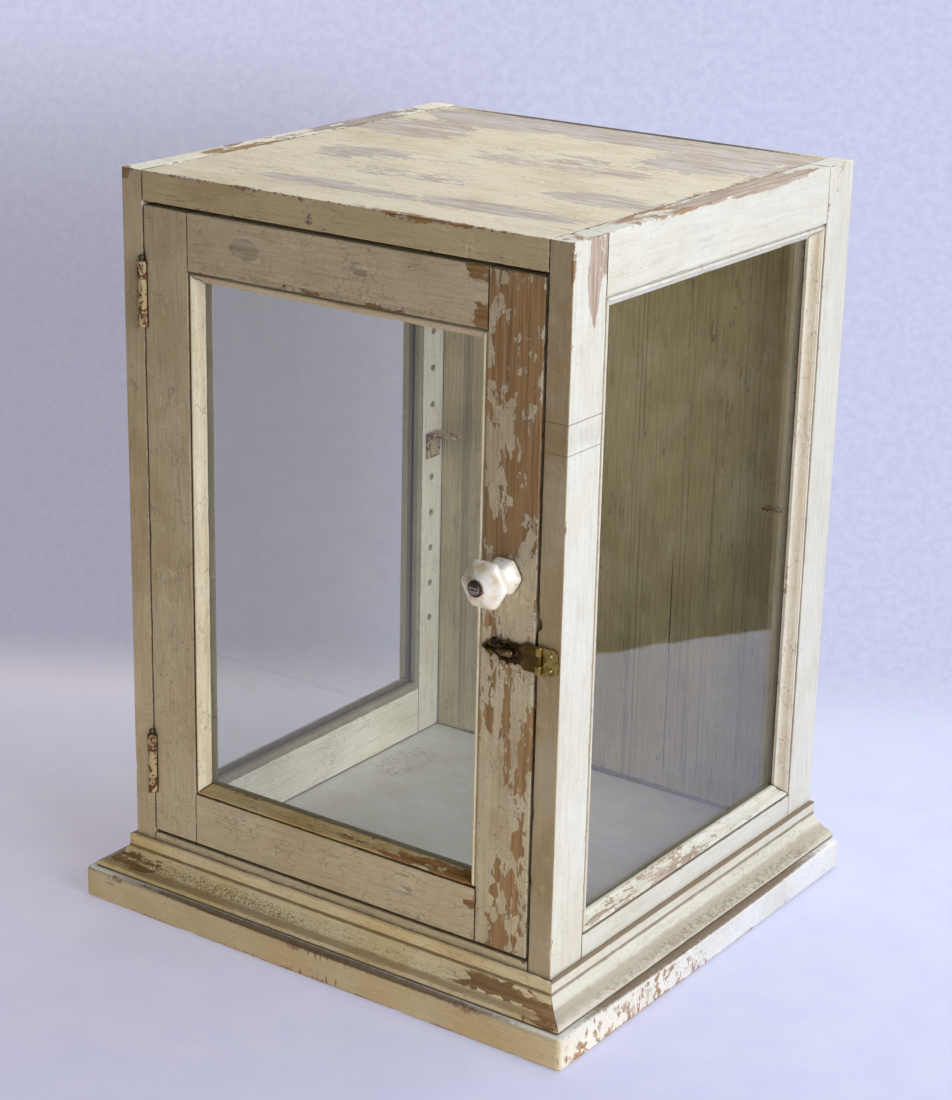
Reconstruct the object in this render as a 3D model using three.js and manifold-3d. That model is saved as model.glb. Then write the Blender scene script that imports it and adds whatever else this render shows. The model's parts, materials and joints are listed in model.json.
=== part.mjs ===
// A glazed countertop display cabinet: four-stile wooden case on an overhanging base board, inset glazed
// door on two butt hinges, glass knob, ornate hasp catch and two peg-in-hole shelf brackets.
// Millimetres. +X right, +Y to the back, +Z up. The origin is the centre of the base board's underside.
import * as THREE from "three";
import { mergeVertices } from "three/addons/utils/BufferGeometryUtils.js";
import Module from "manifold-3d";

const wasm = await Module();
wasm.setup();

// ---------------------------------------------------------------- driving dimensions
const SEAM = 0.3; // gap left at every glued or nailed joint
const STOCK = 19; // planed thickness of the frames

const CASE_WIDTH = 386;
const CASE_DEPTH = 378;
const CASE_TOP = 572;

const BASE_THICK = 25;
const BASE_OVERHANG = 29; // front and both sides; flush at the back
const BASE_EDGE = 3; // rounded arris of the base board

const SIDE_FRONT_STILE = 40;
const SIDE_REAR_STILE = 37;
const SIDE_TOP_RAIL = 42;
const SIDE_BOTTOM_RAIL = 43;
const TOP_THICK = 22;
const THRESHOLD_HEIGHT = 32.5;
const BACK_THICK = 9;
const BACK_GAP = 2; // between the top board and the back panel

const DOOR = { gapLeft: 1, gapRight: 2.5, gapTop: 3, gapBottom: 2.5, thick: 19.5 };
const DOOR_HINGE_STILE = 41;
const DOOR_LOCK_STILE = 44;
const DOOR_TOP_RAIL = 42;
const DOOR_BOTTOM_RAIL = 40.5;

const SIDE_MOULD = { width: 10, depth: 11.5 };
const DOOR_MOULD = { width: 8, depth: 10 };
const COVE = { out: 22.5, height: 25.5, topLand: 4, fillet: 8, lip: 4 };
const GLASS_THICK = 2;
const STOP_WIDTH = 6;

const TENON = { thick: 7, length: 14, shoulder: 5 };

const PIN_HOLE = { radius: 3, depth: 12, fromEnd: 23, first: 129.6, pitch: 32, count: 12 };
const BRACKET_LEVEL = 5; // index of the hole that each shelf bracket sits in

const HINGE = {
  height: 48,
  centres: { lower: 116, upper: 483 },
  barrel: 3.5,
  pin: 1.6,
  proud: 2.2, // pin axis in front of the case
  leafThick: 1.5,
  leafWidth: 18,
  outerKnuckle: 13,
};
const RUNNING = 0.06; // radial clearance of a pin in its knuckles

const KNOB = { x: 147, z: 340, shank: 2, height: 35 };
const CATCH = { z: 286, axisX: 177, barrel: 2.3, pin: 0.8, height: 19.7, plate: 1.2, back: 0.4 };

const ROUND = 48; // facets of a pin or a bore

// ---------------------------------------------------------------- derived planes
const CASE_X = CASE_WIDTH / 2;
const BACK_Y = (CASE_DEPTH + BASE_OVERHANG) / 2;
const FRONT_Y = BACK_Y - CASE_DEPTH;
const INNER_X = CASE_X - STOCK;
const FLOOR_Z = BASE_THICK + SEAM;

const SIDE_OPENING = {
  y: [FRONT_Y + SIDE_FRONT_STILE, BACK_Y - SIDE_REAR_STILE],
  z: [BASE_THICK + SIDE_BOTTOM_RAIL, CASE_TOP - SIDE_TOP_RAIL],
};
const TOP_UNDERSIDE = CASE_TOP - TOP_THICK;
const THRESHOLD_TOP = BASE_THICK + THRESHOLD_HEIGHT;
const DOOR_X = [-INNER_X + DOOR.gapLeft, INNER_X - DOOR.gapRight];
const DOOR_Z = [THRESHOLD_TOP + DOOR.gapBottom, TOP_UNDERSIDE - DOOR.gapTop];
const DOOR_Y = [FRONT_Y, FRONT_Y + DOOR.thick];
const DOOR_OPENING = {
  x: [DOOR_X[0] + DOOR_HINGE_STILE, DOOR_X[1] - DOOR_LOCK_STILE],
  z: [DOOR_Z[0] + DOOR_BOTTOM_RAIL, DOOR_Z[1] - DOOR_TOP_RAIL],
};
const HINGE_X = -INNER_X + DOOR.gapLeft / 2;
const HINGE_Y = FRONT_Y - HINGE.proud;
const CATCH_Y = FRONT_Y - CATCH.barrel - CATCH.back;

// ---------------------------------------------------------------- materials
const paint = (colour, roughness = 0.62) =>
  new THREE.MeshStandardMaterial({ color: colour, roughness, metalness: 0 });
const metal = (colour, roughness) =>
  new THREE.MeshStandardMaterial({ color: colour, roughness, metalness: 0.9 });

const MATERIAL = {
  casePaint: paint(0xd9d5c6),
  doorPaint: paint(0xbfb59a),
  topPaint: paint(0xd6d0bd, 0.7),
  basePaint: paint(0xdadcd6, 0.55),
  mouldPaint: paint(0xe2ddca, 0.5),
  backPaint: paint(0x9c957c, 0.75),
  putty: paint(0x8f8c7c, 0.8),
  glass: new THREE.MeshStandardMaterial({
    color: 0xc4cdd2,
    roughness: 0.05,
    transparent: true,
    opacity: 0.35,
  }),
  hingeIron: new THREE.MeshStandardMaterial({ color: 0xb9ab8c, roughness: 0.6, metalness: 0.3 }),
  steel: metal(0x55504a, 0.5),
  milkGlass: paint(0xeae4d6, 0.18),
  bronze: metal(0x46341f, 0.42),
  brass: metal(0xa98d52, 0.4),
};

// ---------------------------------------------------------------- geometry helpers
const sorted = (a, b) => (a < b ? [a, b] : [b, a]);

function box(x, y, z) {
  const [x0, x1] = sorted(...x);
  const [y0, y1] = sorted(...y);
  const [z0, z1] = sorted(...z);
  const block = new THREE.BoxGeometry(x1 - x0, y1 - y0, z1 - z0);
  return block.translate((x0 + x1) / 2, (y0 + y1) / 2, (z0 + z1) / 2);
}

// A cylinder from point a to point b, both [x, y, z].
function rod(radius, a, b, facets = ROUND) {
  const from = new THREE.Vector3(...a);
  const to = new THREE.Vector3(...b);
  const along = to.clone().sub(from);
  const up = new THREE.Vector3(0, 1, 0);
  const turn = new THREE.Quaternion().setFromUnitVectors(up, along.clone().normalize());
  return new THREE.CylinderGeometry(radius, radius, along.length(), facets)
    .applyQuaternion(turn)
    .translate(...from.add(to).multiplyScalar(0.5).toArray());
}

function solid(geometry) {
  const bare = geometry.clone();
  bare.deleteAttribute("normal");
  bare.deleteAttribute("uv");
  const merged = mergeVertices(bare, 1e-4);
  return new wasm.Manifold(
    new wasm.Mesh({
      numProp: 3,
      vertProperties: merged.attributes.position.array,
      triVerts: new Uint32Array(merged.index.array),
    }),
  );
}

function geometryOf(manifold) {
  const mesh = manifold.getMesh();
  const geometry = new THREE.BufferGeometry();
  geometry.setAttribute("position", new THREE.BufferAttribute(mesh.vertProperties, mesh.numProp));
  geometry.setIndex(new THREE.BufferAttribute(mesh.triVerts, 1));
  const flat = geometry.toNonIndexed();
  flat.computeVertexNormals();
  return flat;
}

// The first geometry worked in steps. Each step adds its joined pieces and then takes its cut pieces away.
function carve(body, ...steps) {
  let made = solid(body);
  for (const { join = [], cut = [] } of steps) {
    for (const piece of join) made = made.add(solid(piece));
    for (const piece of cut) made = made.subtract(solid(piece));
  }
  return geometryOf(made);
}

function shapeOf(points) {
  return new THREE.Shape(points.map(([x, y]) => new THREE.Vector2(x, y)));
}

function arc(cx, cy, r, fromDeg, toDeg, steps) {
  return Array.from({ length: steps + 1 }, (_, i) => {
    const angle = THREE.MathUtils.degToRad(fromDeg + ((toDeg - fromDeg) * i) / steps);
    return [cx + r * Math.cos(angle), cy + r * Math.sin(angle)];
  });
}

// A moulding of the given (u, v) profile that runs along z from 0 to length. Each end's slope says how far
// the end moves outward for each unit of u: 1 or -1 for a mitre, 0 for a square end.
function mouldingStrip(profile, length, startSlope, endSlope) {
  const geometry = new THREE.ExtrudeGeometry(shapeOf(profile), { depth: 1, bevelEnabled: false });
  const at = geometry.attributes.position;
  for (let i = 0; i < at.count; i++) {
    const u = at.getX(i);
    const z = at.getZ(i) > 0.5 ? length + endSlope * u : -startSlope * u;
    at.setZ(i, z);
  }
  geometry.computeVertexNormals();
  return geometry;
}

// The turn that carries the local x, y and z axes to the given directions.
function axesTo(x, y, z) {
  return new THREE.Matrix4().makeBasis(...[x, y, z].map((axis) => new THREE.Vector3(...axis)));
}

const root = new THREE.Group();

function add(parent, name, material, geometry) {
  const mesh = new THREE.Mesh(geometry, material);
  mesh.name = name;
  parent.add(mesh);
  return mesh;
}

// ---------------------------------------------------------------- base board and cove mouldings
function baseBoard() {
  const halfX = CASE_X + BASE_OVERHANG - BASE_EDGE;
  const halfY = BACK_Y - BASE_EDGE;
  const corner = 2;
  const plan = shapeOf([
    ...arc(halfX - corner, halfY - corner, corner, 0, 90, 4),
    ...arc(-halfX + corner, halfY - corner, corner, 90, 180, 4),
    ...arc(-halfX + corner, -halfY + corner, corner, 180, 270, 4),
    ...arc(halfX - corner, -halfY + corner, corner, 270, 360, 4),
  ]);
  const board = new THREE.ExtrudeGeometry(plan, {
    depth: BASE_THICK - 2 * BASE_EDGE,
    bevelThickness: BASE_EDGE,
    bevelSize: BASE_EDGE,
    bevelSegments: 3,
  });
  add(root, "base_board", MATERIAL.basePaint, board.translate(0, 0, BASE_EDGE));
}

// u runs outward from the case, v runs up from the base board.
function coveProfile() {
  const { out, height, topLand, fillet, lip } = COVE;
  const hollow = new THREE.QuadraticBezierCurve(
    new THREE.Vector2(topLand, height - fillet),
    new THREE.Vector2(topLand + 4, lip + 3),
    new THREE.Vector2(out - 1, lip),
  );
  return [
    [SEAM, 0],
    [out, 0],
    [out, lip - 0.6],
    ...hollow.getPoints(8).reverse().map((p) => [p.x, p.y]),
    [topLand, height],
    [SEAM, height],
  ];
}

// The front cove is mitred at both ends; each side cove is mitred at the front and square at the back.
function coves() {
  const profile = coveProfile();
  const frontLength = CASE_WIDTH - SEAM;
  const front = mouldingStrip(profile, frontLength, 1, 1);
  front.applyMatrix4(axesTo([0, -1, 0], [0, 0, 1], [-1, 0, 0]));
  front.translate(frontLength / 2, FRONT_Y, FLOOR_Z);
  add(root, "cove_front", MATERIAL.mouldPaint, front);

  const sideLength = CASE_DEPTH - SEAM;
  const right = mouldingStrip(profile, sideLength, 0, 1);
  right.applyMatrix4(axesTo([1, 0, 0], [0, 0, 1], [0, -1, 0]));
  right.translate(CASE_X, BACK_Y, FLOOR_Z);
  add(root, "cove_right", MATERIAL.mouldPaint, right);

  const left = mouldingStrip(profile, sideLength, 1, 0);
  left.applyMatrix4(axesTo([-1, 0, 0], [0, 0, 1], [0, 1, 0]));
  left.translate(-CASE_X, BACK_Y - sideLength, FLOOR_Z);
  add(root, "cove_left", MATERIAL.mouldPaint, left);
}

// ---------------------------------------------------------------- side frames
// A blind tenon on a rail, and its mortise in the stile, centred in the stock.
function tenonBox(x, yShoulder, direction, z, clearance = 0) {
  const reach = TENON.length + clearance;
  return box(
    [x - TENON.thick / 2 - clearance, x + TENON.thick / 2 + clearance],
    [yShoulder - direction * 1, yShoulder + direction * reach],
    [z[0] + TENON.shoulder - clearance, z[1] - TENON.shoulder + clearance],
  );
}

function pinHoles(side, y) {
  const face = side * INNER_X;
  return Array.from({ length: PIN_HOLE.count }, (_, i) => {
    const z = PIN_HOLE.first + i * PIN_HOLE.pitch;
    return rod(PIN_HOLE.radius, [face - side, y, z], [face + side * PIN_HOLE.depth, y, z], 24);
  });
}

// The recesses that the upper and lower hinge leave in a stile. into is -1 for the post, 1 for the door.
function hingeCuts(into) {
  const edge = HINGE_X + into * (DOOR.gapLeft / 2);
  const depth = HINGE.leafThick - DOOR.gapLeft / 2 + 2 * SEAM;
  return Object.values(HINGE.centres).flatMap((centre) => {
    const z = [centre - HINGE.height / 2 - SEAM, centre + HINGE.height / 2 + SEAM];
    return [
      rod(HINGE.barrel + SEAM, [HINGE_X, HINGE_Y, z[0]], [HINGE_X, HINGE_Y, z[1]]),
      box([edge - into, edge + into * depth], [HINGE_Y, HINGE_Y + HINGE.leafWidth + SEAM], z),
    ];
  });
}

function sideFrame(side, word) {
  const x = [side * INNER_X, side * CASE_X];
  const midX = (side * (INNER_X + CASE_X)) / 2;
  const [frontEdge, rearEdge] = SIDE_OPENING.y;
  const topRailZ = [SIDE_OPENING.z[1], CASE_TOP];
  const bottomRailZ = [FLOOR_Z, SIDE_OPENING.z[0]];
  const rails = [topRailZ, bottomRailZ];
  const mortises = (shoulder, direction) => rails.map((z) => tenonBox(midX, shoulder, direction, z, SEAM));

  const frontHoleY = DOOR_Y[1] + PIN_HOLE.radius * 3;
  const frontCuts = [...mortises(frontEdge, -1), ...pinHoles(side, frontHoleY)];
  frontCuts.push(...(side < 0 ? hingeCuts(-1) : [...catchHoles(), finger()]));
  const stileZ = [FLOOR_Z, CASE_TOP];
  const frontStile = carve(box(x, [FRONT_Y, frontEdge], stileZ), { cut: frontCuts });
  add(root, `${word}_front_stile`, MATERIAL.casePaint, frontStile);

  const rearCuts = [...mortises(rearEdge, 1), ...pinHoles(side, BACK_Y - PIN_HOLE.fromEnd)];
  const rearStile = carve(box(x, [rearEdge, BACK_Y], stileZ), { cut: rearCuts });
  add(root, `${word}_rear_stile`, MATERIAL.casePaint, rearStile);

  rails.forEach((z, i) => {
    const rail = carve(box(x, [frontEdge + SEAM, rearEdge - SEAM], z), {
      join: [tenonBox(midX, frontEdge, -1, z), tenonBox(midX, rearEdge, 1, z)],
    });
    add(root, `${word}_${i ? "bottom" : "top"}_rail`, MATERIAL.casePaint, rail);
  });
}

// ---------------------------------------------------------------- glazing
// u runs in from the edge of the opening, v runs in from the outer face to the glass.
function glazingProfile({ width, depth }) {
  const quirk = 0.12 * width;
  const bead = 0.15 * width;
  const beadTop = 0.12;
  const beadCentre = quirk + bead;
  const hollow = new THREE.QuadraticBezierCurve(
    new THREE.Vector2(beadCentre + bead + 0.6, beadTop + bead),
    new THREE.Vector2(beadCentre + bead + 1.2, 0.62 * depth),
    new THREE.Vector2(width, 0.76 * depth),
  );
  return [
    [0, depth],
    [0, beadTop + bead + 0.4],
    [quirk - 0.2, beadTop + bead + 0.4],
    ...arc(beadCentre, beadTop + bead, bead, 180, 360, 8),
    ...hollow.getPoints(6).map((p) => [p.x, p.y]),
    [width, depth],
  ];
}

// The four mitred mouldings, the pane and the inner stop of one opening, built about the opening's centre
// with local x across it, local y up and local z out of the outer face.
function glazing(parent, word, width, height, stockThick, mould, sideNames) {
  const profile = glazingProfile(mould).map(([u, v]) => [u, -v]);
  const runs = [
    { name: "bottom", turn: 0, length: width, across: height },
    { name: sideNames.positive, turn: 1, length: height, across: width },
    { name: "top", turn: 2, length: width, across: height },
    { name: sideNames.negative, turn: 3, length: height, across: width },
  ];
  for (const { name, turn, length, across } of runs) {
    const run = length - 2 * SEAM;
    const strip = mouldingStrip(profile, run - 2 * SEAM, -1, -1);
    strip.applyMatrix4(axesTo([0, 1, 0], [0, 0, 1], [1, 0, 0]));
    strip.translate(-run / 2 + SEAM, -across / 2 + SEAM, 0);
    strip.rotateZ((turn * Math.PI) / 2);
    add(parent, `${word}_moulding_${name}`, MATERIAL.mouldPaint, strip);
  }

  const paneClear = 0.8;
  const paneX = width / 2 - paneClear;
  const paneY = height / 2 - paneClear;
  const paneFront = -mould.depth - SEAM;
  const pane = box([-paneX, paneX], [-paneY, paneY], [paneFront, paneFront - GLASS_THICK]);
  add(parent, `${word}_glass`, MATERIAL.glass, pane);

  const ring = (half, inset) =>
    [
      [-1, -1],
      [1, -1],
      [1, 1],
      [-1, 1],
    ].map(([sx, sy]) => [sx * (half[0] - inset), sy * (half[1] - inset)]);
  const half = [width / 2, height / 2];
  const stopShape = shapeOf(ring(half, SEAM));
  stopShape.holes.push(shapeOf(ring(half, STOP_WIDTH)));
  const stopFront = paneFront - GLASS_THICK - SEAM;
  const stop = new THREE.ExtrudeGeometry(stopShape, { depth: stockThick + stopFront, bevelEnabled: false });
  add(parent, `${word}_stop`, MATERIAL.putty, stop.translate(0, 0, -stockThick));
}

function centreOf([a, b]) {
  return (a + b) / 2;
}

function sideGlazing(side, word) {
  const opening = new THREE.Group();
  opening.position.set(side * CASE_X, centreOf(SIDE_OPENING.y), centreOf(SIDE_OPENING.z));
  opening.rotation.setFromRotationMatrix(axesTo([0, side, 0], [0, 0, 1], [side, 0, 0]));
  const width = SIDE_OPENING.y[1] - SIDE_OPENING.y[0];
  const height = SIDE_OPENING.z[1] - SIDE_OPENING.z[0];
  const names = side > 0 ? { positive: "rear", negative: "front" } : { positive: "front", negative: "rear" };
  glazing(opening, word, width, height, STOCK, SIDE_MOULD, names);
  root.add(opening);
}

function doorGlazing(door) {
  const opening = new THREE.Group();
  opening.position.set(centreOf(DOOR_OPENING.x), FRONT_Y, centreOf(DOOR_OPENING.z));
  opening.rotation.set(Math.PI / 2, 0, 0);
  const width = DOOR_OPENING.x[1] - DOOR_OPENING.x[0];
  const height = DOOR_OPENING.z[1] - DOOR_OPENING.z[0];
  glazing(opening, "door", width, height, DOOR.thick, DOOR_MOULD, { positive: "right", negative: "left" });
  door.add(opening);
}

// ---------------------------------------------------------------- top, threshold and back
function casePanels() {
  const between = [-INNER_X + SEAM, INNER_X - SEAM];
  const backFront = BACK_Y - BACK_THICK;
  const top = box(between, [FRONT_Y, backFront - BACK_GAP], [TOP_UNDERSIDE, CASE_TOP]);
  add(root, "top_board", MATERIAL.topPaint, top);
  const threshold = box(between, [FRONT_Y, FRONT_Y + STOCK], [FLOOR_Z, THRESHOLD_TOP]);
  add(root, "threshold_rail", MATERIAL.casePaint, threshold);
  const back = box(between, [backFront, BACK_Y - SEAM], [FLOOR_Z, CASE_TOP - 1]);
  add(root, "back_panel", MATERIAL.backPaint, back);
}

// ---------------------------------------------------------------- door frame
function doorFrame(door) {
  const z = DOOR_Z;
  const midY = centreOf(DOOR_Y);
  const [leftEdge, rightEdge] = DOOR_OPENING.x;
  const rails = [
    { name: "door_top_rail", z: [DOOR_OPENING.z[1], z[1]] },
    { name: "door_bottom_rail", z: [z[0], DOOR_OPENING.z[0]] },
  ];
  const tenon = (shoulder, direction, railZ, clearance = 0) =>
    box(
      [shoulder - direction, shoulder + direction * (TENON.length + clearance)],
      [midY - TENON.thick / 2 - clearance, midY + TENON.thick / 2 + clearance],
      [railZ[0] + TENON.shoulder - clearance, railZ[1] - TENON.shoulder + clearance],
    );
  const mortises = (shoulder, direction) => rails.map((rail) => tenon(shoulder, direction, rail.z, SEAM));

  const hingeStile = carve(box([DOOR_X[0], leftEdge], DOOR_Y, z), {
    cut: [...mortises(leftEdge, -1), ...hingeCuts(1)],
  });
  add(door, "door_hinge_stile", MATERIAL.doorPaint, hingeStile);

  const knobHole = rod(KNOB.shank + SEAM, [KNOB.x, FRONT_Y - 1, KNOB.z], [KNOB.x, DOOR_Y[1] + 1, KNOB.z]);
  const lockStile = carve(box([rightEdge, DOOR_X[1]], DOOR_Y, z), {
    cut: [...mortises(rightEdge, 1), knobHole, ...studHoles()],
  });
  add(door, "door_lock_stile", MATERIAL.doorPaint, lockStile);

  for (const rail of rails) {
    const geometry = carve(box([leftEdge + SEAM, rightEdge - SEAM], DOOR_Y, rail.z), {
      join: [tenon(leftEdge, -1, rail.z), tenon(rightEdge, 1, rail.z)],
    });
    add(door, rail.name, MATERIAL.doorPaint, geometry);
  }
}

// ---------------------------------------------------------------- hinges
function hinge(door, word, centre) {
  const low = centre - HINGE.height / 2;
  const high = centre + HINGE.height / 2;
  const middle = [low + HINGE.outerKnuckle, high - HINGE.outerKnuckle];
  const axisAt = (z) => [HINGE_X, HINGE_Y, z];
  const bore = rod(HINGE.pin + RUNNING, axisAt(low - 1), axisAt(high + 1));
  const barrel = (a, b) => rod(HINGE.barrel, axisAt(a), axisAt(b));
  const sweep = (a, b) => rod(HINGE.barrel + SEAM, axisAt(a), axisAt(b));
  const plate = (into) =>
    box(
      [HINGE_X + (into * SEAM) / 2, HINGE_X + into * (SEAM / 2 + HINGE.leafThick)],
      [HINGE_Y + HINGE.barrel * 0.6, HINGE_Y + HINGE.leafWidth],
      [low, high],
    );

  const postLeaf = carve(
    plate(-1),
    { cut: [sweep(middle[0] - SEAM, middle[1] + SEAM)] },
    { join: [barrel(low, middle[0] - SEAM), barrel(middle[1] + SEAM, high)], cut: [bore] },
  );
  add(root, `hinge_${word}_post_leaf`, MATERIAL.hingeIron, postLeaf);

  const doorLeaf = carve(
    plate(1),
    { cut: [sweep(low - 1, middle[0]), sweep(middle[1], high + 1)] },
    { join: [barrel(...middle)], cut: [bore] },
  );
  add(door, `hinge_${word}_door_leaf`, MATERIAL.hingeIron, doorLeaf);

  const ball = HINGE.pin * 1.35;
  const pin = carve(rod(HINGE.pin, axisAt(low - 0.5), axisAt(high + 1)), {
    join: [new THREE.SphereGeometry(ball, 20, 12).translate(...axisAt(high + ball + SEAM))],
  });
  add(root, `hinge_${word}_pin`, MATERIAL.steel, pin);
}

// ---------------------------------------------------------------- knob
// A profile of (radius, distance out of the door's face) turned about an axis square to the face.
function turned(profile, facets, startAngle = 0) {
  const points = profile.map(([r, out]) => new THREE.Vector2(r, out));
  return new THREE.LatheGeometry(points, facets, startAngle).rotateX(Math.PI);
}

function knob(door) {
  const bore = KNOB.shank + 0.6;
  const face = FRONT_Y - SEAM;
  const at = (geometry, out = 0) => geometry.translate(KNOB.x, face - out, KNOB.z);
  const flatsUp = Math.PI / 6;
  const outline = [
    [bore, 0],
    [13.4, 0],
    [14.3, 1.2],
    [14.3, 4.5],
    [12.6, 7.5],
    [10, 11.5],
    [9.8, 14],
    [12, 18],
    [17.5, 22.5],
    [19.4, 24.8],
    [19.4, 26.8],
    [17.8, 29.2],
    [7.4, KNOB.height],
    [bore, KNOB.height],
    [bore, 0],
  ];
  add(door, "knob", MATERIAL.milkGlass, at(turned(outline, 6, flatsUp)));

  const washer = [
    [bore, 0],
    [6, 0],
    [6, 0.8],
    [5.2, 1.1],
    [bore, 1.1],
    [bore, 0],
  ];
  const washerOut = KNOB.height + 0.1;
  add(door, "knob_washer", MATERIAL.steel, at(turned(washer, 32), washerOut));

  const headOut = washerOut + 1.2;
  const nutFace = DOOR_Y[1] + SEAM;
  const tip = nutFace + 5.5 - face;
  const bolt = [
    [0, -tip],
    [KNOB.shank, -tip],
    [KNOB.shank, headOut],
    [4.4, headOut],
    [4.4, headOut + 0.6],
    [3, headOut + 1.5],
    [0, headOut + 1.8],
  ];
  const slot = box([-5, 5], [-headOut - 3, -headOut - 0.9], [-0.5, 0.5]);
  add(door, "knob_bolt", MATERIAL.steel, at(carve(turned(bolt, 32), { cut: [slot] })));

  const nutBore = KNOB.shank + RUNNING;
  const nutThick = 3;
  const nut = carve(rod(4.2, [0, 0, 0], [0, nutThick, 0], 6), {
    cut: [rod(nutBore, [0, -1, 0], [0, nutThick + 1, 0])],
  });
  add(door, "knob_nut", MATERIAL.steel, nut.translate(KNOB.x, nutFace, KNOB.z));
}

// ---------------------------------------------------------------- hasp catch
const NAIL_OFFSETS = [-5.2, 5.2];
const NAIL_X = CATCH.axisX + 9;
const NAIL = { shank: 0.8, head: 1.4, length: 12 };
const STUD = { near: 20.5, far: 33, height: 4.6, shank: 1.5 };
const OLD_NAIL = { x: 140.8, dz: 6.7, scale: 1.7, gap: 2 };
const FINGER = { radius: 6.2, inset: 2.9, above: 25, deep: 8 };

function catchHoles() {
  return NAIL_OFFSETS.map((dz) => shankHole(NAIL.shank, NAIL_X, CATCH.z + dz));
}

// The worn hollow in the right post's inner edge, above the catch.
function finger() {
  const x = INNER_X - FINGER.inset;
  const z = CATCH.z + FINGER.above;
  return rod(FINGER.radius, [x, FRONT_Y - 1, z], [x, FRONT_Y + FINGER.deep, z]);
}

// A hole for a nail's or a stud's shank, from the front face into the wood.
function shankHole(radius, x, z) {
  return rod(radius + RUNNING, [x, FRONT_Y - 1, z], [x, FRONT_Y + NAIL.length + 1, z], 20);
}

function studHoles() {
  return [
    shankHole(STUD.shank, CATCH.axisX - centreOf([STUD.near, STUD.far]), CATCH.z),
    shankHole(NAIL.shank, OLD_NAIL.x, CATCH.z + OLD_NAIL.dz),
  ];
}

// A round-headed nail driven into the front. headGap is how far its head stands off the wood.
function nail(parent, name, material, x, z, headGap, scale = 1) {
  const head = new THREE.SphereGeometry(NAIL.head * scale, 20, 12).scale(1, 0.75, 1);
  const headY = FRONT_Y - headGap;
  const below = box([-5, 5], [0, 5], [-5, 5]);
  const shank = rod(NAIL.shank, [0, -0.3, 0], [0, FRONT_Y + NAIL.length - headY, 0], 20);
  add(parent, name, material, carve(head, { cut: [below] }, { join: [shank] }).translate(x, headY, z));
}

// A plate cut to an (along, up) outline, where along is the distance from the knuckle's axis to the left.
function catchPlate(outline, holes = []) {
  const shape = shapeOf(outline.map(([along, up]) => [CATCH.axisX - along, up]));
  for (const hole of holes) shape.holes.push(shapeOf(hole.map(([along, up]) => [CATCH.axisX - along, up])));
  const plate = new THREE.ExtrudeGeometry(shape, { depth: CATCH.plate, bevelEnabled: false });
  plate.rotateX(Math.PI / 2);
  return plate.translate(0, FRONT_Y - CATCH.back, CATCH.z);
}

function slotOutline(near, far, half, steps = 8) {
  return [...arc(far - half, 0, half, -90, 90, steps), ...arc(near + half, 0, half, 90, 270, steps)];
}

// The lower half of the tongue's outline, from the knuckle to the tip: a plain tab, a scalloped boss with
// three small points, a neck, and a barbed spear.
const TONGUE_HALF = [
  [0, 9.85],
  [13, 9.85],
  [14.8, 7.2],
  [18.2, 6.6],
  [19.6, 8.4],
  [21.6, 6.9],
  [24.4, 7.6],
  [26.4, 9.6],
  [27.8, 7.3],
  [30.6, 6.8],
  [32.6, 7.9],
  [33.4, 5.6],
  [36.2, 3.7],
  [38.6, 4],
  [40, 7],
  [42.2, 3.6],
  [44.6, 2.6],
  [47.6, 0.5],
];

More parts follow.
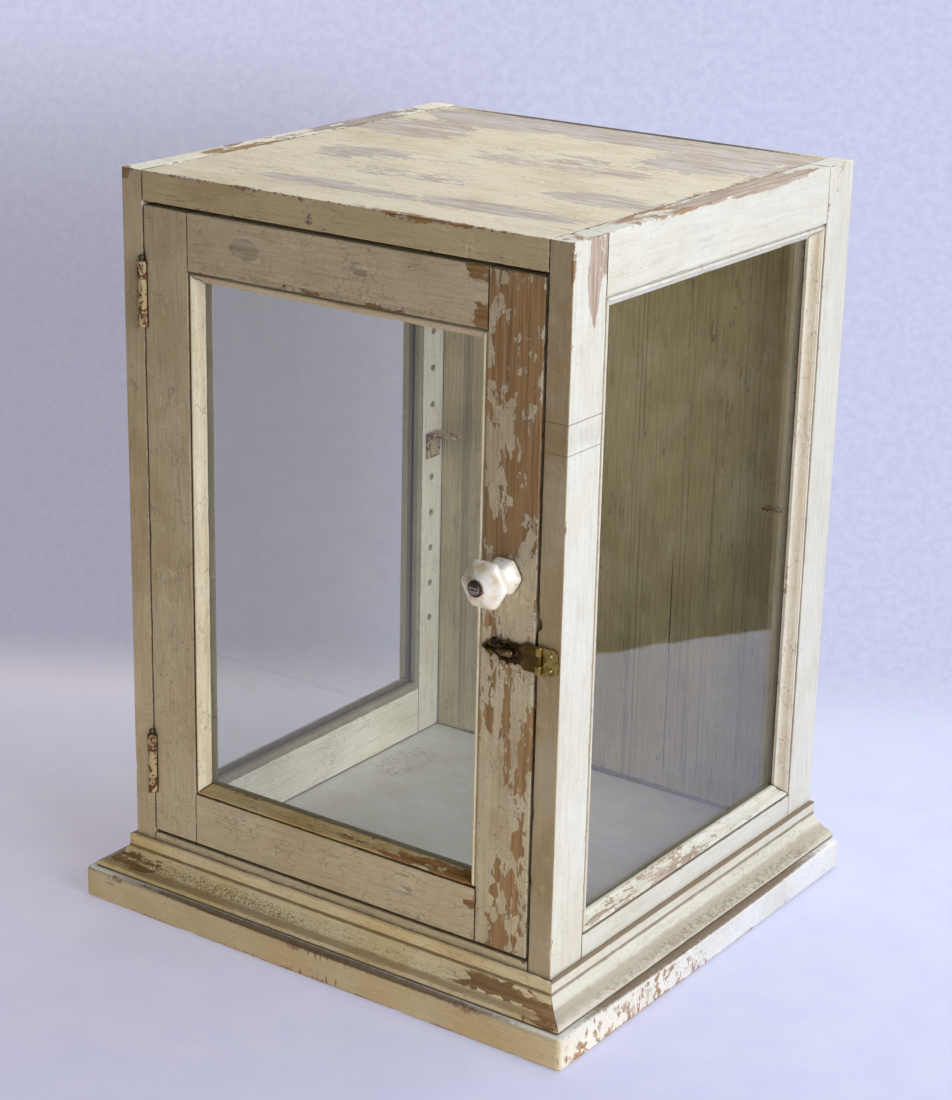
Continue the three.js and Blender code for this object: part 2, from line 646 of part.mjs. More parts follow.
function catchHasp(door, hasp) {
  const { barrel, pin, height, z, axisX } = CATCH;
  const low = z - height / 2;
  const high = z + height / 2;
  const third = height / 3;
  const axisAt = (level) => [axisX, CATCH_Y, level];
  const knuckle = (a, b) => rod(barrel, axisAt(a), axisAt(b), 32);
  const sweep = (a, b) => rod(barrel + SEAM, axisAt(a), axisAt(b), 32);
  const bore = rod(pin + RUNNING, axisAt(low - 1), axisAt(high + 1));
  const middle = [low + third, high - third];

  const post = [
    [0, -9.85],
    [0, 9.85],
    [-11, 9.85],
    [-14, 7],
    [-14.6, 1.6],
    [-15.6, 0],
    [-14.6, -1.6],
    [-14, -7],
    [-11, -9.85],
  ];
  const nailHoles = NAIL_OFFSETS.map((dz) =>
    rod(NAIL.shank + RUNNING, [NAIL_X, FRONT_Y + 1, z + dz], [NAIL_X, FRONT_Y - 3, z + dz], 20),
  );
  const postPiece = carve(
    catchPlate(post),
    { cut: [sweep(middle[0] - SEAM, middle[1] + SEAM), ...nailHoles] },
    { join: [knuckle(low, middle[0] - SEAM), knuckle(middle[1] + SEAM, high)], cut: [bore] },
  );
  add(root, "catch_post_plate", MATERIAL.brass, postPiece);

  const outline = [...TONGUE_HALF, ...TONGUE_HALF.map(([along, up]) => [along, -up]).reverse()];
  const clearance = 1;
  const slot = slotOutline(STUD.near - clearance, STUD.far + clearance, 3.6);
  const tongue = carve(
    catchPlate(outline, [slot]),
    { cut: [sweep(low - 1, middle[0]), sweep(middle[1], high + 1)] },
    { join: [knuckle(...middle)], cut: [bore] },
  );
  add(hasp, "catch_tongue", MATERIAL.bronze, tongue);

  const catchPin = rod(pin, axisAt(low - 0.4), axisAt(high + 0.4));
  add(root, "catch_pin", MATERIAL.brass, catchPin);

  NAIL_OFFSETS.forEach((dz, i) => {
    const gap = CATCH.back + CATCH.plate + 0.1;
    nail(root, `catch_nail_${i ? "upper" : "lower"}`, MATERIAL.brass, NAIL_X, z + dz, gap);
  });
  nail(door, "old_nail", MATERIAL.steel, OLD_NAIL.x, z + OLD_NAIL.dz, OLD_NAIL.gap, OLD_NAIL.scale);

  const studHalf = 2.6;
  const studOutline = slotOutline(STUD.near, STUD.far, studHalf);
  const studShape = shapeOf(studOutline.map(([along, up]) => [axisX - along, up]));
  const bevel = 0.8;
  const studHead = new THREE.ExtrudeGeometry(studShape, {
    depth: STUD.height - bevel * 2,
    bevelThickness: bevel,
    bevelSize: bevel,
    bevelOffset: -bevel,
    bevelSegments: 3,
  });
  studHead.rotateX(Math.PI / 2).translate(0, FRONT_Y - SEAM - bevel, z);
  const studX = axisX - centreOf([STUD.near, STUD.far]);
  const shank = rod(STUD.shank, [studX, FRONT_Y - 1.5, z], [studX, FRONT_Y + NAIL.length, z], 20);
  add(door, "catch_stud", MATERIAL.brass, carve(studHead, { join: [shank] }));
}

// ---------------------------------------------------------------- shelf brackets
const BRACKET = {
  depth: 18,
  height: 22,
  thick: 1.6,
  arm: 26,
  shoulder: 0.35, // share of the arm before it narrows
  tip: 9,
  aboveHole: 8,
  peg: 9,
  pegPlay: 0.1,
  boss: 3.4,
};

function shelfBracket(side, word) {
  const y = BACK_Y - PIN_HOLE.fromEnd;
  const z = PIN_HOLE.first + BRACKET_LEVEL * PIN_HOLE.pitch;
  const face = side * (INNER_X - SEAM);
  const top = z + BRACKET.aboveHole;
  const shoulder = BRACKET.arm * BRACKET.shoulder;
  const plate = box(
    [face, face - side * BRACKET.thick],
    [y - BRACKET.depth / 2, y + BRACKET.depth / 2],
    [top - BRACKET.height, top],
  );
  const arm = new THREE.ExtrudeGeometry(
    shapeOf([
      [0, -BRACKET.depth / 2],
      [shoulder, -BRACKET.depth / 2],
      [BRACKET.arm, -BRACKET.tip / 2],
      [BRACKET.arm, BRACKET.tip / 2],
      [shoulder, BRACKET.depth / 2],
      [0, BRACKET.depth / 2],
    ]),
    { depth: BRACKET.thick, bevelEnabled: false },
  );
  if (side > 0) arm.rotateZ(Math.PI);
  arm.translate(face, y, top - BRACKET.thick);
  const pegRadius = PIN_HOLE.radius - BRACKET.pegPlay;
  const peg = rod(pegRadius, [face - side, y, z], [face + side * BRACKET.peg, y, z], 24);
  const boss = new THREE.SphereGeometry(BRACKET.boss, 20, 12).scale(0.5, 1, 1);
  boss.translate(face - side * BRACKET.thick, y, z);
  const geometry = carve(plate, { join: [arm, peg, boss] });
  add(root, `shelf_bracket_${word}`, MATERIAL.hingeIron, geometry);
}

// ---------------------------------------------------------------- assembly
function build() {
  const door = new THREE.Group();
  const hasp = new THREE.Group();
  root.add(door, hasp);
  baseBoard();
  coves();
  for (const [side, word] of [
    [-1, "left"],
    [1, "right"],
  ]) {
    sideFrame(side, word);
    sideGlazing(side, word);
    shelfBracket(side, word);
  }
  casePanels();
  doorFrame(door);
  doorGlazing(door);
  for (const [word, centre] of Object.entries(HINGE.centres)) hinge(door, word, centre);
  knob(door);
  catchHasp(door, hasp);
}

build();

export default root;
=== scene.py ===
import json
import math

import bmesh
import bpy
import numpy as np
from mathutils import Matrix, Vector

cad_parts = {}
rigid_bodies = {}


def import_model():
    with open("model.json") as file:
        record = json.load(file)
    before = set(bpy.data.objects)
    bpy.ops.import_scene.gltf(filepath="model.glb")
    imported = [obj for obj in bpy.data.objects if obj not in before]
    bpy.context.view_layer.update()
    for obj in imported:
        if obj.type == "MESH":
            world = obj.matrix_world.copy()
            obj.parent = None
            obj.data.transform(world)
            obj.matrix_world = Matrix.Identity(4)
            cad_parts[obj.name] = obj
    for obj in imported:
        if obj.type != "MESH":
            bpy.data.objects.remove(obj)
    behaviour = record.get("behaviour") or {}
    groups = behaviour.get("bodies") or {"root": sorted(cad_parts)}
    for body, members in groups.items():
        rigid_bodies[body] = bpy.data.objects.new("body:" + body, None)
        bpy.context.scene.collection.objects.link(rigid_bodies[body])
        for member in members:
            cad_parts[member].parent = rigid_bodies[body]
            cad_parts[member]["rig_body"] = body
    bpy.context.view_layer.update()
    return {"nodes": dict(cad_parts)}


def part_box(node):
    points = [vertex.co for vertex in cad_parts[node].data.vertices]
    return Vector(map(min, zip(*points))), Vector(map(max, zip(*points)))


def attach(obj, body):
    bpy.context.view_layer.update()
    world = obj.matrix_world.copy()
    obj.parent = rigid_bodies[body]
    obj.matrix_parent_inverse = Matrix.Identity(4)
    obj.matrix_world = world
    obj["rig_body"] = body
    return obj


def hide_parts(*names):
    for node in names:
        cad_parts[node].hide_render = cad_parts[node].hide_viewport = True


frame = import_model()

MM = 0.001
X, Y, Z = 0, 1, 2

# ---------- seeded value noise on arrays of points


def hash01(i, j, k, seed):
    h = (i * 374761393 + j * 668265263 + k * 1440662683 + seed * 1274126177) & 0xFFFFFFFF
    h = ((h ^ (h >> 13)) * 1103515245) & 0xFFFFFFFF
    return ((h ^ (h >> 16)) & 0xFFFF) / 0xFFFF


def noise(points, per_metre, seed=0):
    q = np.asarray(points, float) * per_metre
    cell = np.floor(q).astype(np.int64)
    f = q - cell
    f = f * f * (3 - 2 * f)
    total = np.zeros(len(q))
    for corner in np.ndindex(2, 2, 2):
        weight = np.prod(np.where(corner, f, 1 - f), axis=1)
        total += weight * hash01(*(cell + corner).T, seed)
    return total


def layered_noise(points, per_metre, seed=0, octaves=3):
    total = np.zeros(len(points))
    for octave in range(octaves):
        total += noise(points, per_metre * 2**octave, seed + octave) * 0.5**octave
    return total / (2 - 2 * 0.5**octaves)


def smoothstep(low, high, value):
    t = np.clip((value - low) / (high - low), 0, 1)
    return t * t * (3 - 2 * t)


# ---------- shader graphs


def srgb(red, green, blue):
    """A linear colour from the usual 0 to 255 screen values."""
    linear = []
    for value in (red, green, blue):
        c = value / 255
        linear.append(c / 12.92 if c <= 0.04045 else ((c + 0.055) / 1.055) ** 2.4)
    return (*linear, 1.0)


class Graph:
    """Builds one material's node tree. An argument may be a number, a colour or a node's socket."""

    def __init__(self, name):
        self.material = bpy.data.materials.new(name)
        self.material.use_nodes = True
        self.tree = self.material.node_tree
        self.tree.nodes.clear()

    def feed(self, socket, value):
        if isinstance(value, bpy.types.NodeSocket):
            self.tree.links.new(value, socket)
        else:
            socket.default_value = value

    def node(self, kind, inputs, **settings):
        made = self.tree.nodes.new(kind)
        for key, value in settings.items():
            setattr(made, key, value)
        for key, value in inputs.items():
            self.feed(made.inputs[key], value)
        return made

    def math(self, operation, a, b=0.0, clamp=False):
        made = self.node("ShaderNodeMath", {0: a, 1: b}, operation=operation, use_clamp=clamp)
        return made.outputs[0]

    def add(self, a, b):
        return self.math("ADD", a, b)

    def times(self, a, b):
        return self.math("MULTIPLY", a, b)

    def minus(self, a, b):
        return self.math("SUBTRACT", a, b)

    def total(self, first, *others):
        for other in others:
            first = self.add(first, other)
        return first

    def most(self, first, *others):
        for other in others:
            first = self.math("MAXIMUM", first, other)
        return first

    def inverse(self, a):
        return self.math("SUBTRACT", 1.0, a, clamp=True)

    def centred(self, value, amount):
        """(value - 0.5) * amount"""
        return self.times(self.minus(value, 0.5), amount)

    def colour(self, factor, a, b, blend="MIX"):
        ends = {0: factor, 6: a, 7: b}
        made = self.node("ShaderNodeMix", ends, data_type="RGBA", blend_type=blend)
        return made.outputs[2]

    def tinted(self, colour, tint):
        return self.colour(1.0, colour, srgb(*tint), "MULTIPLY")

    def lerp(self, factor, a, b):
        return self.node("ShaderNodeMix", {0: factor, 2: a, 3: b}, data_type="FLOAT").outputs[0]

    def step(self, value, low, high):
        inputs = {"Value": value, "From Min": low, "From Max": high}
        made = self.node("ShaderNodeMapRange", inputs, interpolation_type="SMOOTHSTEP")
        return made.outputs["Result"]

    def fall(self, value, low, high):
        """1 below low, 0 above high."""
        return self.inverse(self.step(value, low, high))

    def near_middle(self, value, width):
        """1 where the value is 0.5, 0 further from it than width: a thin line through a noise."""
        return self.fall(self.math("ABSOLUTE", self.minus(value, 0.5)), 0.0, width)

    def scale(self, vector, factors):
        made = self.node("ShaderNodeVectorMath", {0: vector, 1: factors}, operation="MULTIPLY")
        return made.outputs[0]

    def shift(self, vector, offset):
        return self.node("ShaderNodeVectorMath", {0: vector, 1: offset}, operation="ADD").outputs[0]

    def turned(self, vector, angle):
        """The vector turned in its first two axes."""
        inputs = {"Vector": vector, "Angle": angle}
        return self.node("ShaderNodeVectorRotate", inputs, rotation_type="Z_AXIS").outputs[0]

    def place(self):
        return self.node("ShaderNodeTexCoord", {}).outputs["Object"]

    def attribute(self, name, output="Fac"):
        return self.node("ShaderNodeAttribute", {}, attribute_name=name).outputs[output]

    def noise(self, vector, per_metre, detail=3.0, rough=0.55, distortion=0.0, output="Fac"):
        inputs = {
            "Vector": vector,
            "Scale": per_metre,
            "Detail": detail,
            "Roughness": rough,
            "Distortion": distortion,
        }
        return self.node("ShaderNodeTexNoise", inputs).outputs[output]

    def cells(self, vector, per_metre, feature="F1", output="Color"):
        inputs = {"Vector": vector, "Scale": per_metre}
        return self.node("ShaderNodeTexVoronoi", inputs, feature=feature).outputs[output]

    def first(self, colour):
        """The first channel of a colour."""
        return self.node("ShaderNodeSeparateColor", {"Color": colour}).outputs[0]

    def parts(self, vector):
        return self.node("ShaderNodeSeparateXYZ", {"Vector": vector}).outputs

    def pointiness(self):
        return self.node("ShaderNodeNewGeometry", {}).outputs["Pointiness"]

    def crevice(self, distance, samples=6):
        """1 deep in a groove, 0 in the open (ambient occlusion). Colour darkened by it is partly
        painted shade.
        """
        made = self.node("ShaderNodeAmbientOcclusion", {"Distance": distance}, samples=samples)
        return self.inverse(made.outputs["AO"])

    def bump(self, height, strength=1.0):
        inputs = {"Height": height, "Distance": 1.0, "Strength": strength}
        return self.node("ShaderNodeBump", inputs).outputs["Normal"]

    def principled(self, **inputs):
        named = {key.replace("_", " "): value for key, value in inputs.items()}
        return self.node("ShaderNodeBsdfPrincipled", named).outputs["BSDF"]

    def finish(self, surface):
        self.node("ShaderNodeOutputMaterial", {"Surface": surface})
        return self.material


# ---------- painted wood
# Every painted piece carries six attributes: grain (metres along and across its own grain), edge (1
# on an outer edge), seam (1 where an edge meets another piece), wear (paint rubbed away), fade (top
# coat only) and soil (dirt).

BARE_AT = 0.5  # where the loss field passes this, bare wood shows
CHIP_BLUR = 0.012  # how far past it a chip's outline fades, in the same measure

PAINT = dict(
    coat=(226, 221, 203),
    aged=(210, 200, 172),
    front=None,  # painted shade: the darker, yellower tone of faces that look to the front, in warm shade
    under=(184, 176, 172),
    wood_pale=(178, 144, 102),
    wood_dark=(130, 100, 64),
    # the dark tone of soiling, also laid on as painted shade in folds
    grime_and_shade=(92, 72, 46),
    loss=0.02,  # how much wood shows overall; 0.5 is half of it
    patch=0.8,  # how far large patches, streaks, ragged edges and single cells steer the loss
    streak=0.5,
    ragged=0.3,
    cell=0.22,
    scratch=0.0,  # upright scratches
    edge=0.42,
    band=0.05,  # how much undercoat is left around bare wood
    cell_size=0.0065,
    cell_stretch=2.6,
    crazing=0.5,
    cross=0.3,  # cracks across the grain
    # how much paint lifts in raised flakes, each painted lighter as a highlight
    lifted_with_highlight=0.35,
    hairline=0.5,
    line_width=0.009,
    ruled=0.0,  # long straight lines along the grain
    fibre=0.1,
    brush=0.35,
    stain=0.3,
    specks=0.3,
    speckled=0.0,  # how far soil gathers in fine specks
    # how dark the folds get from ambient occlusion: soiling and painted shade
    hollow_soil_and_shade=0.8,
    gloss=0.52,
    mottle=0.5,
    bands=(),  # level dark lines: height and half width in millimetres, strength
)


def wood_colour(g, grain, pale, dark):
    """Softwood: broad early and late wood lines, and fine fibres."""
    lines = g.noise(g.scale(grain, (0.035, 1, 1)), 260, 4, 0.6, 0.6)
    fibres = g.noise(g.scale(grain, (0.03, 1, 1)), 1500, 2)
    tone = g.add(g.times(lines, 0.7), g.times(fibres, 0.3))
    return g.colour(g.step(tone, 0.3, 0.68), dark, pale)


def paint_loss(g, p, grain, along, own, cell):
    """How far the paint has gone. Bare wood shows where this passes BARE_AT."""
    wide_bite = g.step(g.noise(grain, 70, 4, 0.6), 0.38, 0.72)
    small_bite = g.step(g.noise(grain, 330, 3), 0.48, 0.64)
    bite = g.add(g.times(wide_bite, 0.75), g.times(small_bite, 0.5))
    field = g.total(
        p["loss"],
        g.attribute("wear"),
        g.times(g.times(g.attribute("edge"), p["edge"]), bite),
        g.centred(g.noise(along[0.5], 26, 5, 0.6), p["patch"]),
        g.centred(g.noise(along[0.09], 190, 4, 0.6), p["streak"]),
        g.centred(g.noise(along[0.35], 420, 4, 0.65), p["ragged"]),
        g.centred(cell, p["cell"]),
    )
    if p["scratch"]:
        upright = g.noise(g.scale(own["Object"], (1, 1, 0.16)), 420, 4, 0.65)
        here = g.step(g.noise(own["Object"], 17, 3), 0.42, 0.62)
        field = g.add(field, g.times(g.centred(upright, p["scratch"]), here))
    return field


def crack_lines(g, p, grain, along, warped, seam, zone):
    """A coarse and a fine net of cracks, and lines along and across the grain."""
    broken = g.step(g.noise(grain, 380, 2), 0.40, 0.54)
    coarse = g.times(g.times(g.fall(seam, 0.0, 0.055), broken), zone)
    fine_seam = g.cells(g.scale(warped, (0.7, 1, 1)), 290, "DISTANCE_TO_EDGE", "Distance")
    fine_zone = g.times(g.step(g.noise(grain, 31, 4, 0.6), 0.46, 0.6), g.inverse(broken))
    fine = g.times(g.times(g.fall(fine_seam, 0.0, 0.07), fine_zone), 0.7)
    crack = g.times(g.most(coarse, fine), p["crazing"])
    across = g.near_middle(g.noise(g.scale(warped, (1, 0.22, 0.22)), 120, 3, 0.5), 0.011)
    across_zone = g.step(g.noise(grain, 33, 3, 0.6), 0.5, 0.62)
    across = g.times(g.times(across, across_zone), p["cross"])
    ridge = g.noise(g.scale(warped, (0.06, 1, 1)), 210, 3, 0.5, 0.3)
    line_zone = g.step(g.noise(g.scale(grain, (0.4, 1, 1)), 60, 2), 0.47, 0.6)
    hairline = g.times(g.near_middle(ridge, p["line_width"]), line_zone)
    split = g.most(crack, g.times(hairline, p["hairline"]), across)
    if p["ruled"]:
        rule = g.near_middle(g.noise(g.scale(grain, (0.004, 1, 0.02)), 62, 1), 0.012)
        worn_rule = g.step(g.noise(along[0.05], 90, 2), 0.3, 0.55)
        split = g.most(split, g.times(g.times(rule, worn_rule), p["ruled"]))
    return split


def top_coat(g, p, tint, along, own, age, fibre):
    """The top coat, with painted shade where it faces the front, brush marks and stains."""
    coat = g.colour(g.times(age, p["mottle"]), tint["coat"], tint["aged"])
    # painted shade: faces that look to the front take the front tone
    if p["front"]:
        ahead = g.step(g.times(g.parts(own["Normal"])[1], -1.0), 0.3, 0.8)
        front = g.colour(g.times(age, 0.4), srgb(*p["front"]), tint["aged"])
        coat = g.colour(ahead, coat, front)
    brush = g.times(g.step(g.noise(along[0.05], 620, 3), 0.36, 0.64), p["brush"])
    coat = g.colour(brush, coat, g.tinted(coat, (226, 221, 209)))
    stain = g.times(g.step(g.noise(along[0.5], 19, 5, 0.62), 0.46, 0.68), p["stain"])
    coat = g.colour(stain, coat, g.tinted(coat, (216, 198, 166)))
    return g.colour(g.times(g.fall(fibre, 0.3, 0.55), p["fibre"]), coat, tint["grime_and_shade"])


def soiling_and_shade_amount(g, p, grain, along, own):
    """Specks, rubbed-in soil, level dark lines, soil in seams, and painted shade with soiling in
    folds.
    """
    speck = g.step(g.noise(grain, 900, 2, 0.6), 0.66, 0.71)
    speck_zone = g.step(g.noise(grain, 48, 3), 0.42, 0.62)
    soil = g.attribute("soil")
    smear = g.step(g.add(soil, g.centred(g.noise(grain, 260, 6, 0.78), 1.0)), 0.36, 0.92)
    dots = g.step(g.add(g.times(soil, 0.3), g.noise(grain, 640, 4, 0.7)), 0.6, 0.68)
    smear = g.lerp(p["speckled"], smear, g.times(dots, g.step(soil, 0.02, 0.2)))
    uneven = g.centred(g.noise(grain, 120, 4, 0.6), 0.35)
    # painted shade with soiling: folds that ambient occlusion finds take the dark tone
    hollow_soil_and_shade = g.step(g.add(g.crevice(4.5 * MM), uneven), 0.30, 0.85)
    broken = g.step(g.noise(grain, 150, 4, 0.6), 0.36, 0.5)
    packed = g.times(g.step(g.attribute("seam"), 0.45, 0.85), broken)
    soiling_and_shade = g.most(g.times(hollow_soil_and_shade, p["hollow_soil_and_shade"]), g.times(smear, 0.88), g.times(packed, 0.9))
    torn = g.noise(along[0.35], 300, 5, 0.7)
    height_mm = g.times(g.parts(own["Object"])[2], 1 / MM)
    for centre, half, strength in p["bands"]:
        gap = g.math("ABSOLUTE", g.minus(height_mm, centre))
        gap = g.add(gap, g.centred(torn, half))
        soiling_and_shade = g.most(soiling_and_shade, g.times(g.fall(gap, half * 0.3, half), strength))
    return g.most(soiling_and_shade, g.times(g.times(speck, speck_zone), p["specks"]))


def paint_material(name, **changes):
    """Old paint in two coats over softwood, cracked, chipped and dirty. Changes are to PAINT."""
    p = {**PAINT, **changes}
    tones = ("coat", "aged", "under", "wood_pale", "wood_dark", "grime_and_shade")
    tint = {key: srgb(*p[key]) for key in tones}
    g = Graph(name)
    grain = g.attribute("grain", "Vector")
    along = {stretch: g.scale(grain, (stretch, 1, 1)) for stretch in (0.05, 0.09, 0.16, 0.35, 0.5)}
    own = g.node("ShaderNodeTexCoord", {}).outputs
    wobble = g.noise(grain, 110, 3, output="Color")
    warped = g.shift(grain, g.scale(g.shift(wobble, (-0.5, -0.5, -0.5)), (0.006, 0.004, 0.004)))
    cell_space = g.scale(warped, (1 / p["cell_stretch"], 1, 1))
    cell = g.first(g.cells(cell_space, 1 / p["cell_size"]))
    seam = g.cells(cell_space, 1 / p["cell_size"], "DISTANCE_TO_EDGE", "Distance")

    # where the top coat and then the undercoat are gone
    field = paint_loss(g, p, grain, along, own, cell)
    bare = g.step(field, BARE_AT, BARE_AT + CHIP_BLUR)
    uneven = g.centred(g.noise(along[0.16], 130, 5, 0.6), 0.5)
    thin = g.total(field, uneven, g.attribute("fade"))
    thin_at = BARE_AT - p["band"]
    under = g.step(thin, thin_at, thin_at + CHIP_BLUR)
    # the raised rim round a chip, which is also painted lighter: a painted highlight
    rim = g.times(g.step(thin, thin_at - 0.045, thin_at - 0.005), g.inverse(under))
    drawn = g.step(g.noise(grain, 150, 3), 0.48, 0.6)
    outline = g.times(g.times(g.times(under, g.inverse(under)), 4.0), drawn)
    shadow = g.times(bare, g.fall(field, BARE_AT, BARE_AT + 0.03))

    # top coat
    age = g.step(g.noise(grain, 17, 4, 0.55), 0.36, 0.66)
    fibre = g.noise(along[0.05], 420, 3)
    coat = top_coat(g, p, tint, along, own, age, fibre)
    zone = g.step(g.noise(grain, 42, 4, 0.6), 0.42, 0.62)
    split = crack_lines(g, p, grain, along, warped, seam, zone)
    slanting = g.turned(warped, 0.6)
    lift_edge = g.cells(g.scale(slanting, (0.22, 1, 1)), 150, "DISTANCE_TO_EDGE", "Distance")
    lift_zone = g.step(g.noise(grain, 85, 3, 0.6), 0.53, 0.62)
    lifted_with_highlight = g.times(g.times(g.fall(lift_edge, 0.0, 0.05), lift_zone), p["lifted_with_highlight"])
    # painted highlights: the rim and the lifting flakes are painted lighter than the coat
    coat = g.colour(g.times(rim, 0.4), coat, srgb(246, 240, 222))
    coat = g.colour(g.times(split, 0.8), coat, tint["grime_and_shade"])
    coat = g.colour(g.times(lifted_with_highlight, 0.5), coat, srgb(246, 238, 214))

    # undercoat, wood, dirt
    under_tone = g.noise(g.scale(grain, (0.08, 1, 1)), 330, 4, 0.6)
    worn_through = g.tinted(tint["under"], (222, 210, 194))
    undercoat = g.colour(g.step(under_tone, 0.35, 0.65), worn_through, tint["under"])
    undercoat = g.colour(g.times(split, 0.5), undercoat, tint["grime_and_shade"])
    wood = wood_colour(g, grain, tint["wood_pale"], tint["wood_dark"])
    wood = g.colour(g.times(shadow, 0.6), wood, srgb(70, 46, 28))
    colour = g.colour(under, coat, undercoat)
    colour = g.colour(g.times(outline, 0.8), colour, srgb(140, 100, 62))
    colour = g.colour(bare, colour, wood)
    # soiling, and painted shade in the folds, darken everything below
    soiling_and_shade = soiling_and_shade_amount(g, p, grain, along, own)
    colour = g.colour(soiling_and_shade, colour, tint["grime_and_shade"])

    # relief in metres
    height = g.total(
        g.times(g.inverse(bare), 0.16 * MM),
        g.times(g.inverse(under), 0.12 * MM),
        g.times(rim, 0.07 * MM),
        g.times(g.times(g.fall(seam, 0.02, 0.2), zone), 0.06 * MM * p["crazing"]),
        g.times(lifted_with_highlight, 0.16 * MM),
        g.times(split, -0.14 * MM),
        g.times(fibre, g.lerp(bare, 0.05 * MM, 0.16 * MM)),
        g.times(g.noise(grain, 90, 3), 0.35 * MM),
    )
    rough = g.lerp(bare, g.add(p["gloss"], g.centred(age, 0.12)), 0.82)
    return g.finish(
        g.principled(
            Base_Color=colour,
            Roughness=g.lerp(soiling_and_shade, rough, 0.85),
            Normal=g.bump(height, 0.85),
            Specular_IOR_Level=0.4,
        )
    )


KHAKI = dict(
    coat=(215, 206, 183), aged=(203, 191, 162), under=(196, 192, 180), grime_and_shade=(72, 54, 34),
    crazing=0.6, cross=0.45, lifted_with_highlight=0.9, brush=0.4, stain=0.38,
)
WHITE = dict(
    coat=(227, 229, 221), aged=(219, 216, 201), front=(214, 203, 178), under=(196, 182, 172),
    wood_pale=(188, 156, 126), wood_dark=(140, 110, 82), grime_and_shade=(108, 84, 56), mottle=0.45,
    crazing=0.22, cross=0.12, hairline=0.35, brush=0.2, stain=0.16, gloss=0.46,
)
# a mended place on the right post: two level lines, and a greyer band between them
MENDED = ((452, 0.7, 0.6), (431, 0.7, 0.5), (441, 9, 0.1))

# Each front tone here is painted shade on faces that look to the front.
PAINT_CHANGES = {
    "right_frame": dict(**WHITE, specks=0.5, patch=0.5, edge=0.5),
    "right_front": dict(
        **{**WHITE, "front": (172, 154, 122)}, specks=0.5, patch=0.5, edge=0.55, bands=MENDED,
    ),
    "left_frame": dict(
        coat=(248, 246, 236), aged=(238, 232, 210), front=(206, 193, 166), loss=-0.02, patch=0.5,
        cross=0.4,
    ),
    "door": dict(**KHAKI, loss=0.04, patch=0.7),
    "lock_stile": dict(
        **{**KHAKI, "coat": (212, 205, 184), "aged": (200, 190, 164)}, wood_pale=(182, 151, 114),
        wood_dark=(134, 106, 74), loss=0.23, patch=1.15, streak=0.55, ragged=0.55, cell=0.42,
        cell_stretch=1.9, band=0.012, edge=0.3,
    ),
    "top": dict(
        coat=(230, 222, 200), aged=(220, 208, 180), front=(206, 193, 160), under=(206, 199, 194),
        grime_and_shade=(112, 102, 96), loss=-0.04, patch=0.8, streak=0.6, ragged=0.6, lifted_with_highlight=0.9, band=0.09,
        hairline=1.0, line_width=0.013, crazing=0.4, cross=0.0, edge=0.7,
    ),
    "base": dict(
        **{**WHITE, "coat": (237, 241, 242), "front": (206, 192, 156)}, loss=0.04, streak=0.3,
        edge=0.5, cell_size=0.005, specks=0.8, scratch=2.0,
    ),
    # The coves' bands at 41.8 mm run along the quirk under the top fillet: soiling and painted
    # shade.
    "front_cove": dict(
        coat=(250, 239, 206), aged=(238, 219, 168), under=(196, 166, 120), wood_pale=(160, 130, 94),
        wood_dark=(118, 92, 62), grime_and_shade=(126, 92, 52), specks=0.9, speckled=0.75, loss=0.02,
        edge=0.3, mottle=0.9, bands=((41.8, 1.7, 0.75), (30.2, 1.8, 0.6), (25.6, 0.9, 0.9)),
    ),
    "side_cove": dict(
        **{**WHITE, "grime_and_shade": (112, 84, 48), "coat": (222, 222, 212)}, specks=0.9, loss=-0.02,
        edge=0.25, bands=((41.8, 1.6, 0.7), (50.4, 1.2, 0.8), (32.0, 3.6, 0.42), (25.7, 1.0, 0.9)),
    ),
    "side_moulding": dict(
        **{**WHITE, "crazing": 0.8}, loss=0.03, edge=0.35, patch=1.2, specks=0.8, ragged=0.6,
    ),
    "door_moulding": dict(
        coat=(250, 246, 224), aged=(236, 226, 194), loss=-0.03, edge=0.3, patch=0.6,
    ),
    "worn_moulding": dict(
        coat=(224, 209, 170), aged=(206, 180, 126), under=(182, 148, 98), wood_pale=(176, 134, 82),
        wood_dark=(124, 86, 46), grime_and_shade=(84, 60, 28), loss=0.12, edge=0.3, mottle=1.0, crazing=0.8,
    ),
    "back": dict(
        coat=(216, 206, 164), aged=(198, 186, 140), under=(160, 150, 118), grime_and_shade=(60, 50, 34),
        loss=-0.12, hairline=1.0, line_width=0.012, ruled=0.55, crazing=0.0, edge=0.1, gloss=0.7,
        mottle=0.9, brush=0.6,
    ),
    "stop": dict(
        coat=(166, 162, 140), aged=(146, 140, 116), under=(120, 114, 96), loss=0.0, gloss=0.7,
    ),
}
PAINTS = {name: paint_material(name + "_paint", **p) for name, p in PAINT_CHANGES.items()}


# ---------- turning a CAD solid into a worn board
EDGE_STEPS = [step * MM for step in (0.3, 0.6, 1.0, 1.6, 2.4, 3.6)]
ALONG = 3.0 * MM  # spacing of the cuts along the grain, and across it
ACROSS = 5.0 * MM
EDGE_FADE = 2.6 * MM  # how far in from an edge its wear reaches
AT_EDGE = 0.5 * MM  # points this close to an edge are on it
SNAP = 0.01 * MM  # points this far outside a box still count as inside
MERGE = 0.001 * MM  # vertices closer than this are one
FLAT = 0.01  # radians; faces that turn less than this are joined


def stations(low, high, spacing, edge_steps=EDGE_STEPS):
    """Cut positions between low and high: close together near the ends, then evenly spaced."""
    near = [step for step in edge_steps if step < (high - low) / 2 - 0.2 * MM]
    inner_low = low + (near[-1] if near else 0)
    inner_high = high - (near[-1] if near else 0)
    count = max(1, round((inner_high - inner_low) / spacing))
    even = np.linspace(inner_low, inner_high, count + 1)
    return sorted({*(low + s for s in near), *(high - s for s in near), *even[1:-1].tolist()})


